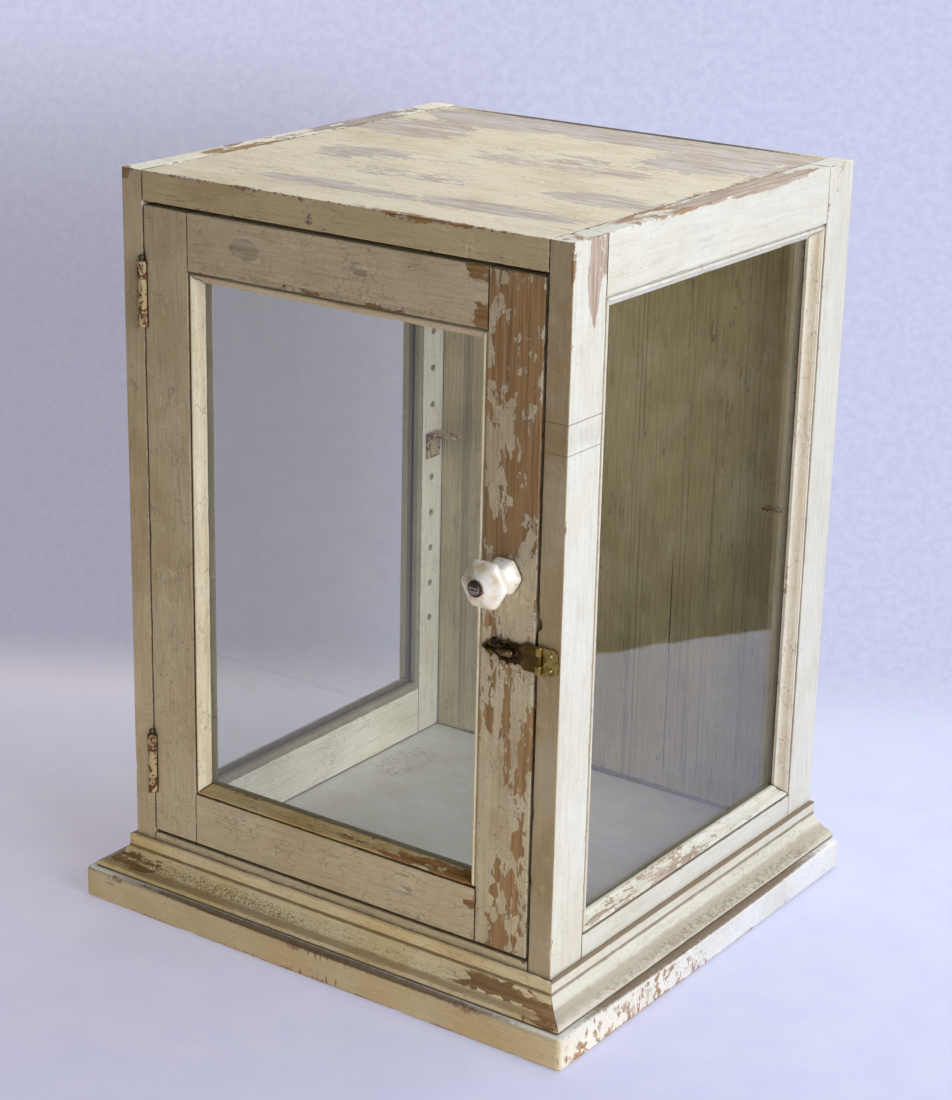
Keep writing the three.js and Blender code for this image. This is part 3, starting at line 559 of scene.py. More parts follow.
def cad_mesh(node):
    """The CAD node's solid as a bmesh with shared vertices and whole faces."""
    bm = bmesh.new()
    bm.from_mesh(frame["nodes"][node].data)
    bmesh.ops.remove_doubles(bm, verts=bm.verts, dist=MERGE)
    bmesh.ops.dissolve_limit(bm, angle_limit=FLAT, verts=bm.verts, edges=bm.edges)
    return bm


def slice_at(bm, axis, positions):
    normal = Vector((0, 0, 0))
    normal[axis] = 1
    for position in positions:
        bmesh.ops.bisect_plane(
            bm,
            geom=bm.verts[:] + bm.edges[:] + bm.faces[:],
            dist=0.0001 * MM,
            plane_co=normal * position,
            plane_no=normal,
        )


def solid_box(node, grain, between=None):
    """The visible body of a board. A rail's tenons lie outside it, beyond the stiles in between."""
    low, high = (np.array(corner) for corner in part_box(node))
    if between:
        first, second = between
        low[grain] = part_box(first)[1][grain]
        high[grain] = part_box(second)[0][grain]
    return low, high


def corner_radius(points, low, high, axes, radius, chip, seed):
    """The rounding of the long edge nearest each point. It varies along the edge, with chips."""
    on_edge = points.copy()
    for axis in axes:
        middle = (low[axis] + high[axis]) / 2
        on_edge[:, axis] = np.where(points[:, axis] < middle, low[axis], high[axis])
    worn = radius * (0.65 + 0.7 * noise(on_edge, 28, seed))
    dents = smoothstep(0.60, 0.86, layered_noise(on_edge, 75, seed + 5))
    return worn + chip * dents


def round_edges(points, inside, low, high, grain, radius, chip, seed):
    """Rolls the four long edges and, more lightly, the end edges of a box-shaped board."""
    a, b = [axis for axis in (X, Y, Z) if axis != grain]
    smallest = min(high[a] - low[a], high[b] - low[b])
    r = corner_radius(points, low, high, (a, b), radius, chip, seed)
    r = np.minimum(r, smallest * 0.45)
    core_a = np.clip(points[:, a], low[a] + r, high[a] - r)
    core_b = np.clip(points[:, b], low[b] + r, high[b] - r)
    da = points[:, a] - core_a
    db = points[:, b] - core_b
    length = np.hypot(da, db)
    pull = np.where((length > r) & inside, r / np.maximum(length, 1e-9), 1.0)
    points[:, a] = core_a + da * pull
    points[:, b] = core_b + db * pull

    end_r = np.minimum(radius * 0.8, 0.8 * MM)
    to_end = np.minimum(points[:, grain] - low[grain], high[grain] - points[:, grain])
    depth = np.clip(end_r - to_end, 0, end_r)
    inset = np.where(inside, end_r - np.sqrt(np.maximum(end_r**2 - depth**2, 0)), 0)
    for axis in (a, b):
        points[:, axis] = np.clip(points[:, axis], low[axis] + inset, high[axis] - inset)


def sink(points, inside, low, high, grain, seed):
    """Old planed faces are never quite flat: each face dips by up to a quarter of a millimetre."""
    for axis in (X, Y, Z):
        if axis == grain:
            continue
        dip = 0.25 * MM * layered_noise(points, 14, seed + 11 + axis, 2)
        span = high[axis] - low[axis]
        side = (points[:, axis] - low[axis]) / span
        shift = np.where(side < 0.5, dip, -dip) * smoothstep(0.35, 0.5, abs(side - 0.5))
        points[:, axis] += np.where(inside, shift, 0)


def blob(points, centre, radii):
    """1 inside a soft ellipsoid, 0 outside it. Centre and radii are in millimetres."""
    distance = np.linalg.norm((points / MM - np.array(centre)) / np.array(radii), axis=1)
    return 1 - smoothstep(0.55, 1.15, distance)


def mark(mesh, name, values):
    """Stores one number or vector for each vertex."""
    kind = "FLOAT_VECTOR" if np.ndim(values) == 2 else "FLOAT"
    attribute = mesh.attributes.new(name, kind, "POINT")
    key = "vector" if kind == "FLOAT_VECTOR" else "value"
    attribute.data.foreach_set(key, np.asarray(values, np.float32).ravel())


def vertex_array(mesh):
    points = np.zeros(len(mesh.vertices) * 3)
    mesh.vertices.foreach_get("co", points)
    return points.reshape(-1, 3)


def mesh_from(bm, name):
    mesh = bpy.data.meshes.new(name)
    bm.to_mesh(mesh)
    bm.free()
    return mesh


def shade_smooth(mesh, crisp=None):
    """Smooth shading, with crisp edges where the surface bends further than an angle."""
    for polygon in mesh.polygons:
        polygon.use_smooth = True
    if crisp:
        mesh.set_sharp_from_angle(angle=crisp)


def add_object(name, data):
    made = bpy.data.objects.new(name, data)
    bpy.context.scene.collection.objects.link(made)
    return made


def bridge(bm, ring, following):
    """Faces between two rings of vertices."""
    for i in range(len(ring)):
        j = (i + 1) % len(ring)
        bm.faces.new((ring[i], ring[j], following[j], following[i]))


def seed_of(node):
    return sum(map(ord, node)) % 97


# Places, in millimetres, where paint has gone (wear), thinned (fade) or got dirty (soil): centre,
# radii, strength.
PLACES = {
    "top_board": {
        "fade": [
            ((60, 176, 572), (160, 44, 9), 1.1), ((-95, 168, 572), (84, 44, 9), 1.1),
            ((-128, 95, 572), (62, 52, 9), 0.62), ((120, 120, 572), (70, 60, 9), 0.62),
            ((-95, -20, 572), (50, 34, 9), 0.5), ((-20, -128, 572), (120, 14, 9), 0.62),
            ((90, -120, 572), (90, 18, 9), 0.7), ((130, -50, 572), (50, 26, 9), 0.66),
            ((40, 50, 572), (100, 50, 9), 0.42), ((-20, -60, 572), (90, 24, 9), 0.4),
        ],
        "wear": [
            ((40, -174, 572), (130, 6, 5), 0.36), ((-110, -174, 572), (60, 7, 5), 0.34),
            ((-22, -175, 558), (5, 3, 7), 0.75), ((172, 40, 572), (7, 130, 6), 0.3),
            ((-172, 20, 572), (7, 130, 6), 0.26), ((-60, -120, 572), (60, 8, 6), 0.22),
        ],
        "soil": [((60, 192, 572), (170, 12, 9), 0.5), ((-90, 186, 572), (70, 26, 9), 0.5)],
    },
    "right_top_rail": {
        "fade": [((184, 70, 572), (14, 110, 6), 0.6)],
        "wear": [((184, -60, 572), (14, 80, 5), 0.42), ((193, -100, 562), (4, 6, 9), 0.4)],
    },
    "left_top_rail": {
        "fade": [((-184, 100, 572), (14, 100, 6), 0.6)],
        "wear": [((-182, -50, 572), (14, 70, 5), 0.5)],
    },
    "right_front_stile": {
        "fade": [((194, -150, 548), (5, 11, 44), 0.6), ((194, -137, 560), (5, 5, 24), 0.5)],
        "wear": [
            ((180, -160, 573), (14, 16, 5), 0.46), ((193, -175, 556), (4, 4, 30), 0.36),
            ((193, -151, 560), (4, 3, 30), 0.3),
        ],
        "soil": [((193, -155, 440), (6, 22, 8), 0.3)],
    },
    "left_front_stile": {
        "wear": [((-190, -174, 570), (8, 8, 8), 0.6)],
    },
    "right_rear_stile": {
        "fade": [((193, 185, 545), (5, 20, 40), 0.25)],
    },
    "door_top_rail": {
        "fade": [((-80, -175, 528), (16, 4, 12), 0.6), ((20, -175, 530), (14, 4, 10), 0.5)],
        "wear": [
            ((-30, -175, 508), (24, 4, 6), 0.48), ((45, -175, 507), (22, 4, 5), 0.42),
            ((120, -175, 542), (14, 4, 9), 0.6), ((122, -175, 512), (9, 4, 10), 0.5),
            ((118, -175, 525), (6, 4, 8), 0.3),
        ],
        "soil": [((0, -175, 508), (130, 5, 6), 0.5)],
    },
    "door_bottom_rail": {
        "wear": [((122, -175, 90), (8, 4, 12), 0.35)],
        "fade": [((60, -175, 85), (26, 4, 12), 0.4), ((-90, -175, 90), (20, 4, 9), 0.3)],
    },
    "door_hinge_stile": {
        "soil": [((-150, -175, 300), (30, 5, 240), 0.12), ((-172, -175, 300), (4, 5, 240), 0.3)],
        "fade": [((-150, -175, 420), (12, 4, 26), 0.35)],
    },
    "door_lock_stile": {
        "wear": [
            ((152, -175, 515), (30, 5, 70), 0.42), ((162, -175, 430), (14, 5, 90), 0.42),
            ((136, -175, 470), (12, 5, 30), 0.2), ((144, -175, 385), (24, 5, 46), 0.46),
            ((136, -175, 290), (5, 5, 90), 0.3), ((151, -175, 225), (5, 5, 60), 0.3),
            ((163, -175, 160), (7, 5, 80), 0.34), ((152, -175, 95), (18, 5, 42), 0.34),
        ],
        "soil": [((150, -175, 330), (25, 5, 60), 0.2)],
    },
    "cove_front": {
        "wear": [
            ((-186, -190, 36), (40, 14, 10), 0.52), ((-120, -184, 42), (70, 10, 3), 0.3),
            ((150, -190, 38), (66, 14, 9), 0.6), ((200, -194, 34), (26, 20, 8), 0.42),
            ((60, -182, 43), (160, 8, 3), 0.22),
        ],
        "soil": [((-20, -192, 36), (240, 14, 12), 0.18), ((-90, -190, 34), (110, 12, 8), 0.42)],
    },
    "cove_right": {
        "soil": [
            ((212, 50, 31), (10, 215, 6), 0.66), ((205, 110, 36), (13, 120, 11), 0.46),
            ((204, -50, 34), (12, 90, 9), 0.42), ((212, -60, 31), (10, 160, 6), 0.6),
            ((204, 0, 41), (12, 230, 8), 0.3),
        ],
    },
    "cove_left": {
        "soil": [((-212, 60, 31), (9, 200, 6), 0.5)],
    },
    "base_board": {
        "wear": [
            ((222, -150, 8), (6, 80, 18), 0.34), ((222, -70, 10), (6, 110, 18), 0.27),
            ((222, -90, 0), (6, 130, 5), 0.4), ((222, 90, 4), (6, 120, 9), 0.14),
            ((0, -204, 0), (240, 5, 5), 0.3), ((-200, -204, 22), (22, 5, 8), 0.4),
            ((40, -204, 23), (180, 5, 4), 0.2),
        ],
        # the two strongest darken the ledge where the coves sit on the base
        "soil": [
            ((218, 0, 26), (8, 240, 4.5), 0.95), ((-145, 110, 25), (30, 50, 4), 0.5),
            ((-60, 40, 25), (50, 30, 4), 0.3), ((90, 60, 25), (60, 60, 4), 0.16),
            ((0, -202, 26), (240, 8, 4.5), 0.95), ((-218, 0, 26), (8, 240, 4.5), 0.7),
        ],
    },
    "right_moulding_bottom": {
        "wear": [((190, -90, 74), (9, 60, 9), 0.3), ((190, 10, 74), (9, 110, 9), 0.2)],
        "fade": [((190, -50, 74), (9, 110, 9), 0.22)],
        "soil": [((190, 20, 74), (9, 160, 9), 0.35)],
    },
    "door_moulding_bottom": {
        "wear": [
            ((100, -172, 105), (80, 9, 7), 0.5), ((20, -172, 107), (60, 9, 3), 0.3),
            ((-80, -172, 107), (50, 9, 3), 0.25),
        ],
    },
    "back_panel": {
        "soil": [
            ((0, 200, 300), (180, 12, 280), 0.12), ((0, 195, 26), (200, 12, 5), 0.8),
            ((0, 198, 573), (240, 12, 4), 1.0),
        ],
        "wear": [((-62, 194, 430), (5, 6, 50), 0.2)],
    },
}


BOXES = {name: [np.array(corner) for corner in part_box(name)] for name in frame["nodes"]}
TOUCH = 1.2 * MM  # pieces this close to each other share a seam
FLUSH = 0.1 * MM  # closer than this in one direction counts as level


def touches_neighbour(node, points):
    """Whether each point lies against another CAD node: within TOUCH of its box, on one side."""
    touching = np.zeros(len(points), bool)
    for other, (low, high) in BOXES.items():
        if other == node or "glass" in other:
            continue
        gap = np.maximum(low - points, points - high)
        touching |= (gap.max(axis=1) < TOUCH) & ((gap > FLUSH).sum(axis=1) <= 1)
    return touching


def dress(mesh, node, grain, edge, seam, seed):
    """The attributes that the paint reads."""
    points = vertex_array(mesh)
    across = [axis for axis in (X, Y, Z) if axis != grain]
    drift = np.array([seed * 0.37, seed * 0.11, seed * 0.23])
    mark(mesh, "grain", points[:, [grain, *across]] + drift)
    mark(mesh, "edge", edge)
    mark(mesh, "seam", seam)
    places = PLACES.get(node, {})
    for kind in ("wear", "fade", "soil"):
        total = np.zeros(len(points))
        for centre, radii, strength in places.get(kind, []):
            total = np.maximum(total, strength * blob(points, centre, radii))
        mark(mesh, kind, total)


SHARP = math.radians(38)  # edges of a board or moulding bent further than this are shaded crisp
HARDWARE_SHARP = math.radians(50)
BEVELLED = math.radians(28)  # edges of the hardware bent further than this are bevelled
FULL_RIDGE = math.radians(60)  # a moulding's edge bent this far takes its full wear


def publish(mesh, node, suffix, material):
    """Makes the mesh a piece that stands for the CAD node and rides on its body."""
    mesh.materials.clear()
    mesh.materials.append(material)
    shade_smooth(mesh, SHARP)
    piece = add_object(f"{node}_{suffix}", mesh)
    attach(piece, frame["nodes"][node]["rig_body"])
    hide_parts(node)
    return piece


def board(node, grain, paint, radius=0.7, chip=1.2, between=None, extra=None, shape=None):
    """A worn board cut from its CAD solid. Radius and chip are in millimetres."""
    seed = seed_of(node)
    low, high = solid_box(node, grain, between)
    bm = cad_mesh(node)
    for axis in (X, Y, Z):
        spacing = ALONG if axis == grain else ACROSS
        slice_at(bm, axis, stations(low[axis], high[axis], spacing) + (extra or {}).get(axis, []))
    mesh = mesh_from(bm, node + "_mesh")
    points = vertex_array(mesh)
    inside = np.all((points > low - SNAP) & (points < high + SNAP), axis=1)
    gaps = np.sort(np.minimum(abs(points - low), abs(points - high)), axis=1)
    edge = np.exp(-gaps[:, 1] / EDGE_FADE) * inside
    seam = (gaps[:, 1] < AT_EDGE) & inside
    seam[seam] = touches_neighbour(node, points[seam])
    round_edges(points, inside, low, high, grain, radius * MM, chip * MM, seed)
    sink(points, inside, low, high, grain, seed)
    if shape:
        shape(points)
    mesh.vertices.foreach_set("co", points.ravel())
    mesh.update()
    dress(mesh, node, grain, edge, seam, seed)
    return publish(mesh, node, "wood", PAINTS[paint])


# ---------- mouldings


def ridge_strength(bm):
    """For each vertex, how sharply the surface bulges there: 1 on a crisp outer corner."""
    strength = np.zeros(len(bm.verts))
    for edge in bm.edges:
        if len(edge.link_faces) != 2:
            continue
        angle = edge.calc_face_angle_signed(0.0)
        for vertex in edge.verts:
            strength[vertex.index] = max(strength[vertex.index], angle / FULL_RIDGE)
    return np.clip(strength, 0, 1)


QUIRK = 41.8  # millimetres: the height of the quirk under the coves' top fillet
QUIRK_HALF = 0.9
QUIRK_DEPTH = 1.1


def moulding(node, grain, paint, chip=0.5, groove=None):
    """A moulding cut across its length, with its crisp edges rubbed and nicked. Groove is the
    height of the quirk that runs along it, if it has one."""
    seed = seed_of(node)
    low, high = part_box(node)
    bm = cad_mesh(node)
    slice_at(bm, grain, stations(low[grain], high[grain], 2.5 * MM))
    if groove:
        slice_at(bm, Z, [(groove + step) * MM for step in (-QUIRK_HALF, 0, QUIRK_HALF)])
    bm.verts.index_update()
    bm.normal_update()
    ridge = ridge_strength(bm)
    normals = np.array([vertex.normal for vertex in bm.verts])
    mesh = mesh_from(bm, node + "_mesh")
    points = vertex_array(mesh)
    nick = 0.12 + chip * smoothstep(0.58, 0.85, layered_noise(points, 90, seed))
    nick = nick * ridge + 0.12 * layered_noise(points, 40, seed + 3, 2)
    if groove:
        nick += QUIRK_DEPTH * (abs(points[:, Z] - groove * MM) < FLUSH)
    normals[:, grain] = 0
    points -= normals * nick[:, None] * MM
    mesh.vertices.foreach_set("co", points.ravel())
    mesh.update()
    dress(mesh, node, grain, ridge, ridge * 0, seed)
    return publish(mesh, node, "strip", PAINTS[paint])


# ---------- wooden pieces


def split_line(x, low, high, width):
    """An open split in the back panel: a groove that wanders with the grain and dies out."""

    def carve(points):
        height = points[:, Z]
        wander = 1.6 * MM * (layered_noise(np.c_[height * 0, height * 0, height], 16, 3) - 0.5)
        near = np.exp(-((points[:, X] - x * MM) / (7 * MM)) ** 2)
        points[:, X] += wander * near
        fade_in = smoothstep(low * MM, (low + 25) * MM, height)
        fade_out = 1 - smoothstep((high - 60) * MM, high * MM, height)
        open_here = fade_in * fade_out
        offset = points[:, X] - x * MM - wander
        centre = abs(offset) < 0.15 * MM
        front = points[:, Y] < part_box("back_panel")[0][Y] + 2 * MM
        points[:, Y] += np.where(centre & front, 4 * MM * open_here, 0)
        lip = (abs(offset) > 0.15 * MM) & (abs(offset) < 1.2 * MM) & front
        points[:, X] += np.where(lip, np.sign(offset) * width * MM * open_here, 0)

    return carve


# The back panel's open splits, in millimetres: x, lower and upper end, and half width.
BACK_SPLITS = [(59, 30, 255, 0.45), (80, 26, 110, 0.3), (-60, 330, 540, 0.2)]


def split_back(points):
    for x, low, high, width in BACK_SPLITS:
        split_line(x, low, high, width)(points)


def split_stations():
    return {X: [(x + step) * MM for x, *_ in BACK_SPLITS for step in (-1, -0.4, 0, 0.4, 1)]}


def build_boards():
    for side in ("left", "right"):
        paint = side + "_frame"
        stiles = (f"{side}_front_stile", f"{side}_rear_stile")
        for stile in stiles:
            stile_paint = "right_front" if stile == "right_front_stile" else paint
            board(stile, Z, stile_paint, 0.8, 1.5)
        for rail in ("top", "bottom"):
            chip = 1.8 if rail == "top" else 0.7
            board(f"{side}_{rail}_rail", Y, paint, 0.6, chip, between=stiles)
    board("top_board", X, "top", 0.9, 1.8)
    board("threshold_rail", X, "door", 0.5, 0.8)
    board("back_panel", Z, "back", 0.5, 0.6, extra=split_stations(), shape=split_back)
    board("base_board", X, "base", 2.6, 2.2)
    board("door_hinge_stile", Z, "door", 0.7, 1.2)
    board("door_lock_stile", Z, "lock_stile", 0.9, 1.4)
    door_stiles = ("door_hinge_stile", "door_lock_stile")
    for rail in ("door_top_rail", "door_bottom_rail"):
        board(rail, X, "door", 0.5, 1.0, between=door_stiles)


def build_mouldings():
    moulding("cove_front", X, "front_cove", 1.0, QUIRK)
    moulding("cove_left", Y, "side_cove", 0.8, QUIRK)
    moulding("cove_right", Y, "side_cove", 0.8, QUIRK)
    for side in ("left", "right"):
        for name, grain in (("top", Y), ("bottom", Y), ("front", Z), ("rear", Z)):
            moulding(f"{side}_moulding_{name}", grain, "side_moulding")
        moulding(f"{side}_stop", Z, "stop", 0.3)
    for name, grain in (("top", X), ("bottom", X), ("left", Z), ("right", Z)):
        paint = {"top": "door", "bottom": "worn_moulding"}.get(name, "door_moulding")
        moulding(f"door_moulding_{name}", grain, paint)
    moulding("door_stop", Z, "stop", 0.3)


# ---------- glass


MIRRORED = 0.06  # how much light a pane throws back seen square on
GRAZING_GAIN = 1.25


def glass_material(name, tint):
    """Thin window glass: clear square on, a mirror at a slant, with a patchy film of dust."""
    g = Graph(name)
    place = g.place()
    wave = g.times(g.noise(place, 9, 2), 0.5 * MM)
    normal = g.bump(wave, 0.5)
    seen = g.node("ShaderNodeNewGeometry", {}).outputs
    towards = {0: seen["Incoming"], 1: seen["Normal"]}
    facing = g.node("ShaderNodeVectorMath", towards, operation="DOT_PRODUCT")
    slant = g.inverse(g.math("ABSOLUTE", facing.outputs["Value"]))
    mirror = g.add(MIRRORED, g.times(g.math("POWER", slant, 5.0), GRAZING_GAIN))
    clear = g.node("ShaderNodeBsdfTransparent", {"Color": tint}).outputs[0]
    polish = {"Color": (1, 1, 1, 1), "Roughness": 0.02, "Normal": normal}
    shine = g.node("ShaderNodeBsdfGlossy", polish)
    pane = g.node("ShaderNodeMixShader", {0: mirror, 1: clear, 2: shine.outputs[0]}).outputs[0]
    film = g.step(g.noise(place, 22, 5, 0.65), 0.42, 0.85)
    dust = g.node("ShaderNodeBsdfDiffuse", {"Color": srgb(196, 196, 188)}).outputs[0]
    amount = g.add(g.times(film, 0.035), 0.006)
    return g.finish(g.node("ShaderNodeMixShader", {0: amount, 1: pane, 2: dust}).outputs[0])


def build_glass():
    clear = glass_material("window_glass", (0.985, 0.995, 0.988, 1))
    # painted shade: the left pane gets a darker copy of the glass, darkening the view through it
    grey = glass_material("shaded_window_glass", (0.90, 0.90, 0.875, 1))
    for pane in ("left_glass", "right_glass", "door_glass"):
        dress_cad(pane, grey if pane == "left_glass" else clear)


def dress_cad(node, material, bevel=None):
    """A CAD node that keeps its shape gets its material and, with a bevel, rounder edges."""
    piece = frame["nodes"][node]
    piece.data.materials.clear()
    piece.data.materials.append(material)
    if bevel:
        weld = piece.modifiers.new("weld", "WELD")
        weld.merge_threshold = MERGE
        rounding = piece.modifiers.new("edges", "BEVEL")
        rounding.width = bevel * MM
        rounding.segments = 2
        rounding.limit_method = "ANGLE"
        rounding.angle_limit = BEVELLED
        shade_smooth(piece.data, HARDWARE_SHARP)


# ---------- metal and milk glass


TAB_STARTS = 163.5 * MM  # the hasp's plain tab lies to the right of this


def metal_material(name, bright, dark, polish, tarnish, rough, tab_from=None):
    """Old metal: a dark patina that is rubbed bright on the raised edges. To the right of tab_from,
    where it is given, the metal is a smoother, even olive."""
    g = Graph(name)
    place = g.place()
    cloud = g.noise(place, 260, 5, 0.65)
    grit = g.noise(place, 1800, 3, 0.6)
    rubbed = g.pointiness()
    rub = g.step(g.add(rubbed, g.centred(cloud, 0.10)), 0.5, 0.58)
    patina = g.step(g.add(cloud, tarnish), 0.42, 0.62)
    colour = g.colour(patina, srgb(*bright), srgb(*dark))
    colour = g.colour(g.times(rub, polish), colour, srgb(*bright))
    if tab_from:
        tab = g.step(g.parts(place)[0], tab_from - 0.8 * MM, tab_from + 0.8 * MM)
        colour = g.colour(g.times(tab, 0.8), colour, srgb(104, 80, 32))
        cloud = g.times(cloud, g.lerp(tab, 1.0, 0.2))
    # painted shade with soiling, near black, in hollows and where parts meet, from ambient
    # occlusion
    soiling_and_shade = g.step(g.crevice(2.0 * MM), 0.3, 0.9)
    colour = g.colour(g.times(soiling_and_shade, 0.8), colour, srgb(24, 18, 12))
    height = g.add(g.times(grit, 0.05 * MM), g.times(cloud, 0.12 * MM))
    roughness = g.lerp(patina, rough, g.add(rough, 0.2))
    normal = g.bump(height)
    return g.finish(
        g.principled(Base_Color=colour, Metallic=0.95, Roughness=roughness, Normal=normal)
    )


def painted_iron_material(name, sound):
    """Cream paint over iron, broken through to rust. Sound is how whole the paint is."""
    g = Graph(name)
    place = g.place()
    spots = g.noise(place, 240, 5, 0.65)
    rubbed = g.pointiness()
    field = g.add(spots, g.times(g.minus(rubbed, 0.5), 1.2))
    rust = g.step(field, sound, sound + 0.025)
    coat = g.colour(g.noise(place, 90, 4), srgb(206, 192, 158), srgb(182, 160, 118))
    rust_tone = g.colour(g.noise(place, 900, 3), srgb(66, 42, 28), srgb(134, 90, 56))
    # painted shade with rust-brown soiling in the hollows, from ambient occlusion
    hollow_soil_and_shade = g.step(g.crevice(2.0 * MM), 0.25, 0.85)
    colour = g.colour(rust, coat, rust_tone)
    colour = g.colour(g.times(hollow_soil_and_shade, 0.85), colour, srgb(58, 38, 24))
    height = g.add(g.times(g.inverse(rust), 0.12 * MM), g.times(g.noise(place, 700, 3), 0.05 * MM))
    roughness = g.lerp(rust, 0.5, 0.88)
    return g.finish(g.principled(Base_Color=colour, Roughness=roughness, Normal=g.bump(height)))


def milk_glass_material():
    """Opaque white pressed glass with yellow-brown stains along its edges, and painted shade on its
    front and in its hollows.
    """
    g = Graph("milk_glass")
    own = g.node("ShaderNodeTexCoord", {}).outputs
    place = own["Object"]
    swirl = g.noise(place, 55, 4, 0.6, 0.8)
    rubbed = g.pointiness()
    stain_field = g.add(g.noise(place, 170, 5, 0.7), g.times(g.minus(rubbed, 0.5), 0.8))
    stain = g.step(stain_field, 0.56, 0.70)
    ahead = g.step(g.times(g.parts(own["Normal"])[1], -1.0), 0.2, 0.9)
    white = g.colour(g.step(swirl, 0.3, 0.7), srgb(250, 252, 250), srgb(240, 236, 224))
    # brown stains, laid on more thickly where the knob faces the front: stains with painted warm
    # shade
    tea_stain_and_front_shade = g.times(g.step(g.noise(place, 90, 4, 0.6), 0.46, 0.66), g.lerp(ahead, 0.35, 0.8))
    white = g.colour(tea_stain_and_front_shade, white, srgb(226, 204, 160))
    colour = g.colour(g.times(stain, 0.7), white, srgb(168, 124, 66))
    # painted shade with soiling in the hollows, from ambient occlusion
    hollow_soil_and_shade = g.step(g.crevice(3 * MM), 0.25, 0.9)
    colour = g.colour(g.times(hollow_soil_and_shade, 0.6), colour, srgb(126, 102, 66))
    height = g.add(g.times(swirl, 0.25 * MM), g.times(g.noise(place, 500, 3), 0.03 * MM))
    shader = g.principled(
        Base_Color=colour,
        Roughness=g.lerp(stain, 0.14, 0.45),
        Normal=g.bump(height, 0.7),
        Subsurface_Weight=0.3,
        Subsurface_Radius=(1.0, 0.96, 0.92),
        Subsurface_Scale=0.003,
        Coat_Weight=0.4,
        Coat_Roughness=0.08,
    )
    return g.finish(shader)


# The knob's outline: distance out from its seat, from its middle to a flat, how six-sided it is.
KNOB_OUTLINE = [
    (0.0, 11.0, 0.9), (0.5, 11.8, 1.0), (1.8, 12.2, 1.0), (4.2, 12.0, 1.0), (6.2, 11.0, 0.9),
    (8.6, 9.5, 0.8), (11.0, 8.7, 0.7), (13.6, 8.7, 0.7), (16.0, 9.8, 0.8), (18.6, 12.4, 0.95),
    (21.0, 14.9, 1.0), (23.0, 16.1, 1.0), (24.8, 16.4, 1.0), (26.6, 16.0, 1.0), (28.6, 14.6, 0.95),
    (30.6, 12.2, 0.8), (32.6, 9.4, 0.5), (34.2, 7.4, 0.2), (34.8, 6.4, 0.0), (34.8, 2.7, 0.0),
    (0.0, 2.7, 0.0),
]
KNOB_FLATS = [math.radians(30 + 60 * turn) for turn in range(6)]
CORNER_POWER = 15  # higher is a crisper corner between two flats


def smooth_rows(rows, between):
    """The rows with extra ones laid between them on a Catmull-Rom curve."""
    rows = np.array(rows, float)
    made = []
    for i in range(len(rows) - 1):
        around = (np.clip(i + step, 0, len(rows) - 1) for step in (-1, 0, 1, 2))
        before, start, end, after = (rows[row] for row in around)
        for t in np.arange(between) / between:
            bend = 2 * before - 5 * start + 4 * end - after
            swing = 3 * start - before - 3 * end + after
            made.append(start + 0.5 * t * (end - before + t * (bend + t * swing)))
    return [*made, rows[-1]]


def build_knob(material):
    """A six-sided pressed-glass knob with soft corners, bored for its bolt."""
    low, high = (np.array(corner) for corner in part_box("knob"))
    middle = (low + high) / 2
    body, bore = KNOB_OUTLINE[:-2], KNOB_OUTLINE[-2:]
    rows = [*smooth_rows(body, 3), *bore]
    segments = 96
    angles = np.arange(segments) * 2 * math.pi / segments
    facing = np.array([np.maximum(np.cos(angles - flat), 0) ** CORNER_POWER for flat in KNOB_FLATS])
    hexagon = facing.sum(axis=0) ** (-1 / CORNER_POWER)
    bm = bmesh.new()
    rings = []
    for out, flat, sixness in rows:
        radius = flat * MM * (1 + sixness * (hexagon - 1))
        x = middle[X] + radius * np.cos(angles)
        z = middle[Z] + radius * np.sin(angles)
        rings.append([bm.verts.new((a, high[Y] - out * MM, b)) for a, b in zip(x, z)])
    for ring, following in zip(rings, [*rings[1:], rings[0]]):
        bridge(bm, ring, following)
    bmesh.ops.recalc_face_normals(bm, faces=bm.faces)
    mesh = mesh_from(bm, "knob_mesh")
    points = vertex_array(mesh)
    points[:, X] += 0.3 * MM * (layered_noise(points, 110, 5) - 0.5)
    points[:, Z] += 0.3 * MM * (layered_noise(points, 110, 9) - 0.5)
    mesh.vertices.foreach_set("co", points.ravel())
    publish(mesh, "knob", "glass", material)


def bead(bm, path, radii):
    """A rounded bead along a path of (x, z) points at depth y, with a radius for each point."""
    sides = 10
    rings = []
    for i, (x, y, z) in enumerate(path):
        before, after = path[max(i - 1, 0)], path[min(i + 1, len(path) - 1)]
        ahead = Vector(after) - Vector(before)
        ahead.normalize()
        outward = Vector((0, -1, 0))
        sideways = ahead.cross(outward)
        ring = []
        for k in range(sides):
            a = 2 * math.pi * k / sides
            offset = (sideways * math.cos(a) + outward * math.sin(a) * 0.8) * radii[i]
            ring.append(bm.verts.new(Vector((x, y, z)) + offset))
        rings.append(ring)
    for ring, following in zip(rings, rings[1:]):
        bridge(bm, ring, following)
    bm.faces.new(rings[0])
    bm.faces.new(rings[-1][::-1])


# Strokes of the hasp's relief, in millimetres along from the spear's tip and up from its axis.
SLOT_RIM = [
    (11.6, 0.0), (12.2, 2.9), (14.4, 4.5), (18.0, 4.9), (22.0, 4.9), (26.0, 4.6), (28.2, 3.0),
    (28.9, 0.0),
]
VEINS = [
    [(3.4, 0.4), (5.6, 2.2), (7.4, 4.8)], [(8.6, 0.8), (10.0, 2.2), (11.0, 3.2)],
    [(15.0, 5.2), (15.0, 6.2), (14.8, 7.2)], [(21.0, 5.6), (21.2, 7.0), (21.2, 8.7)],
    [(26.6, 5.2), (27.4, 6.2), (27.9, 7.4)],
]
KEEL = [(1.6, 0.0), (4.0, 0.0), (7.0, 0.0), (11.0, 0.0)]


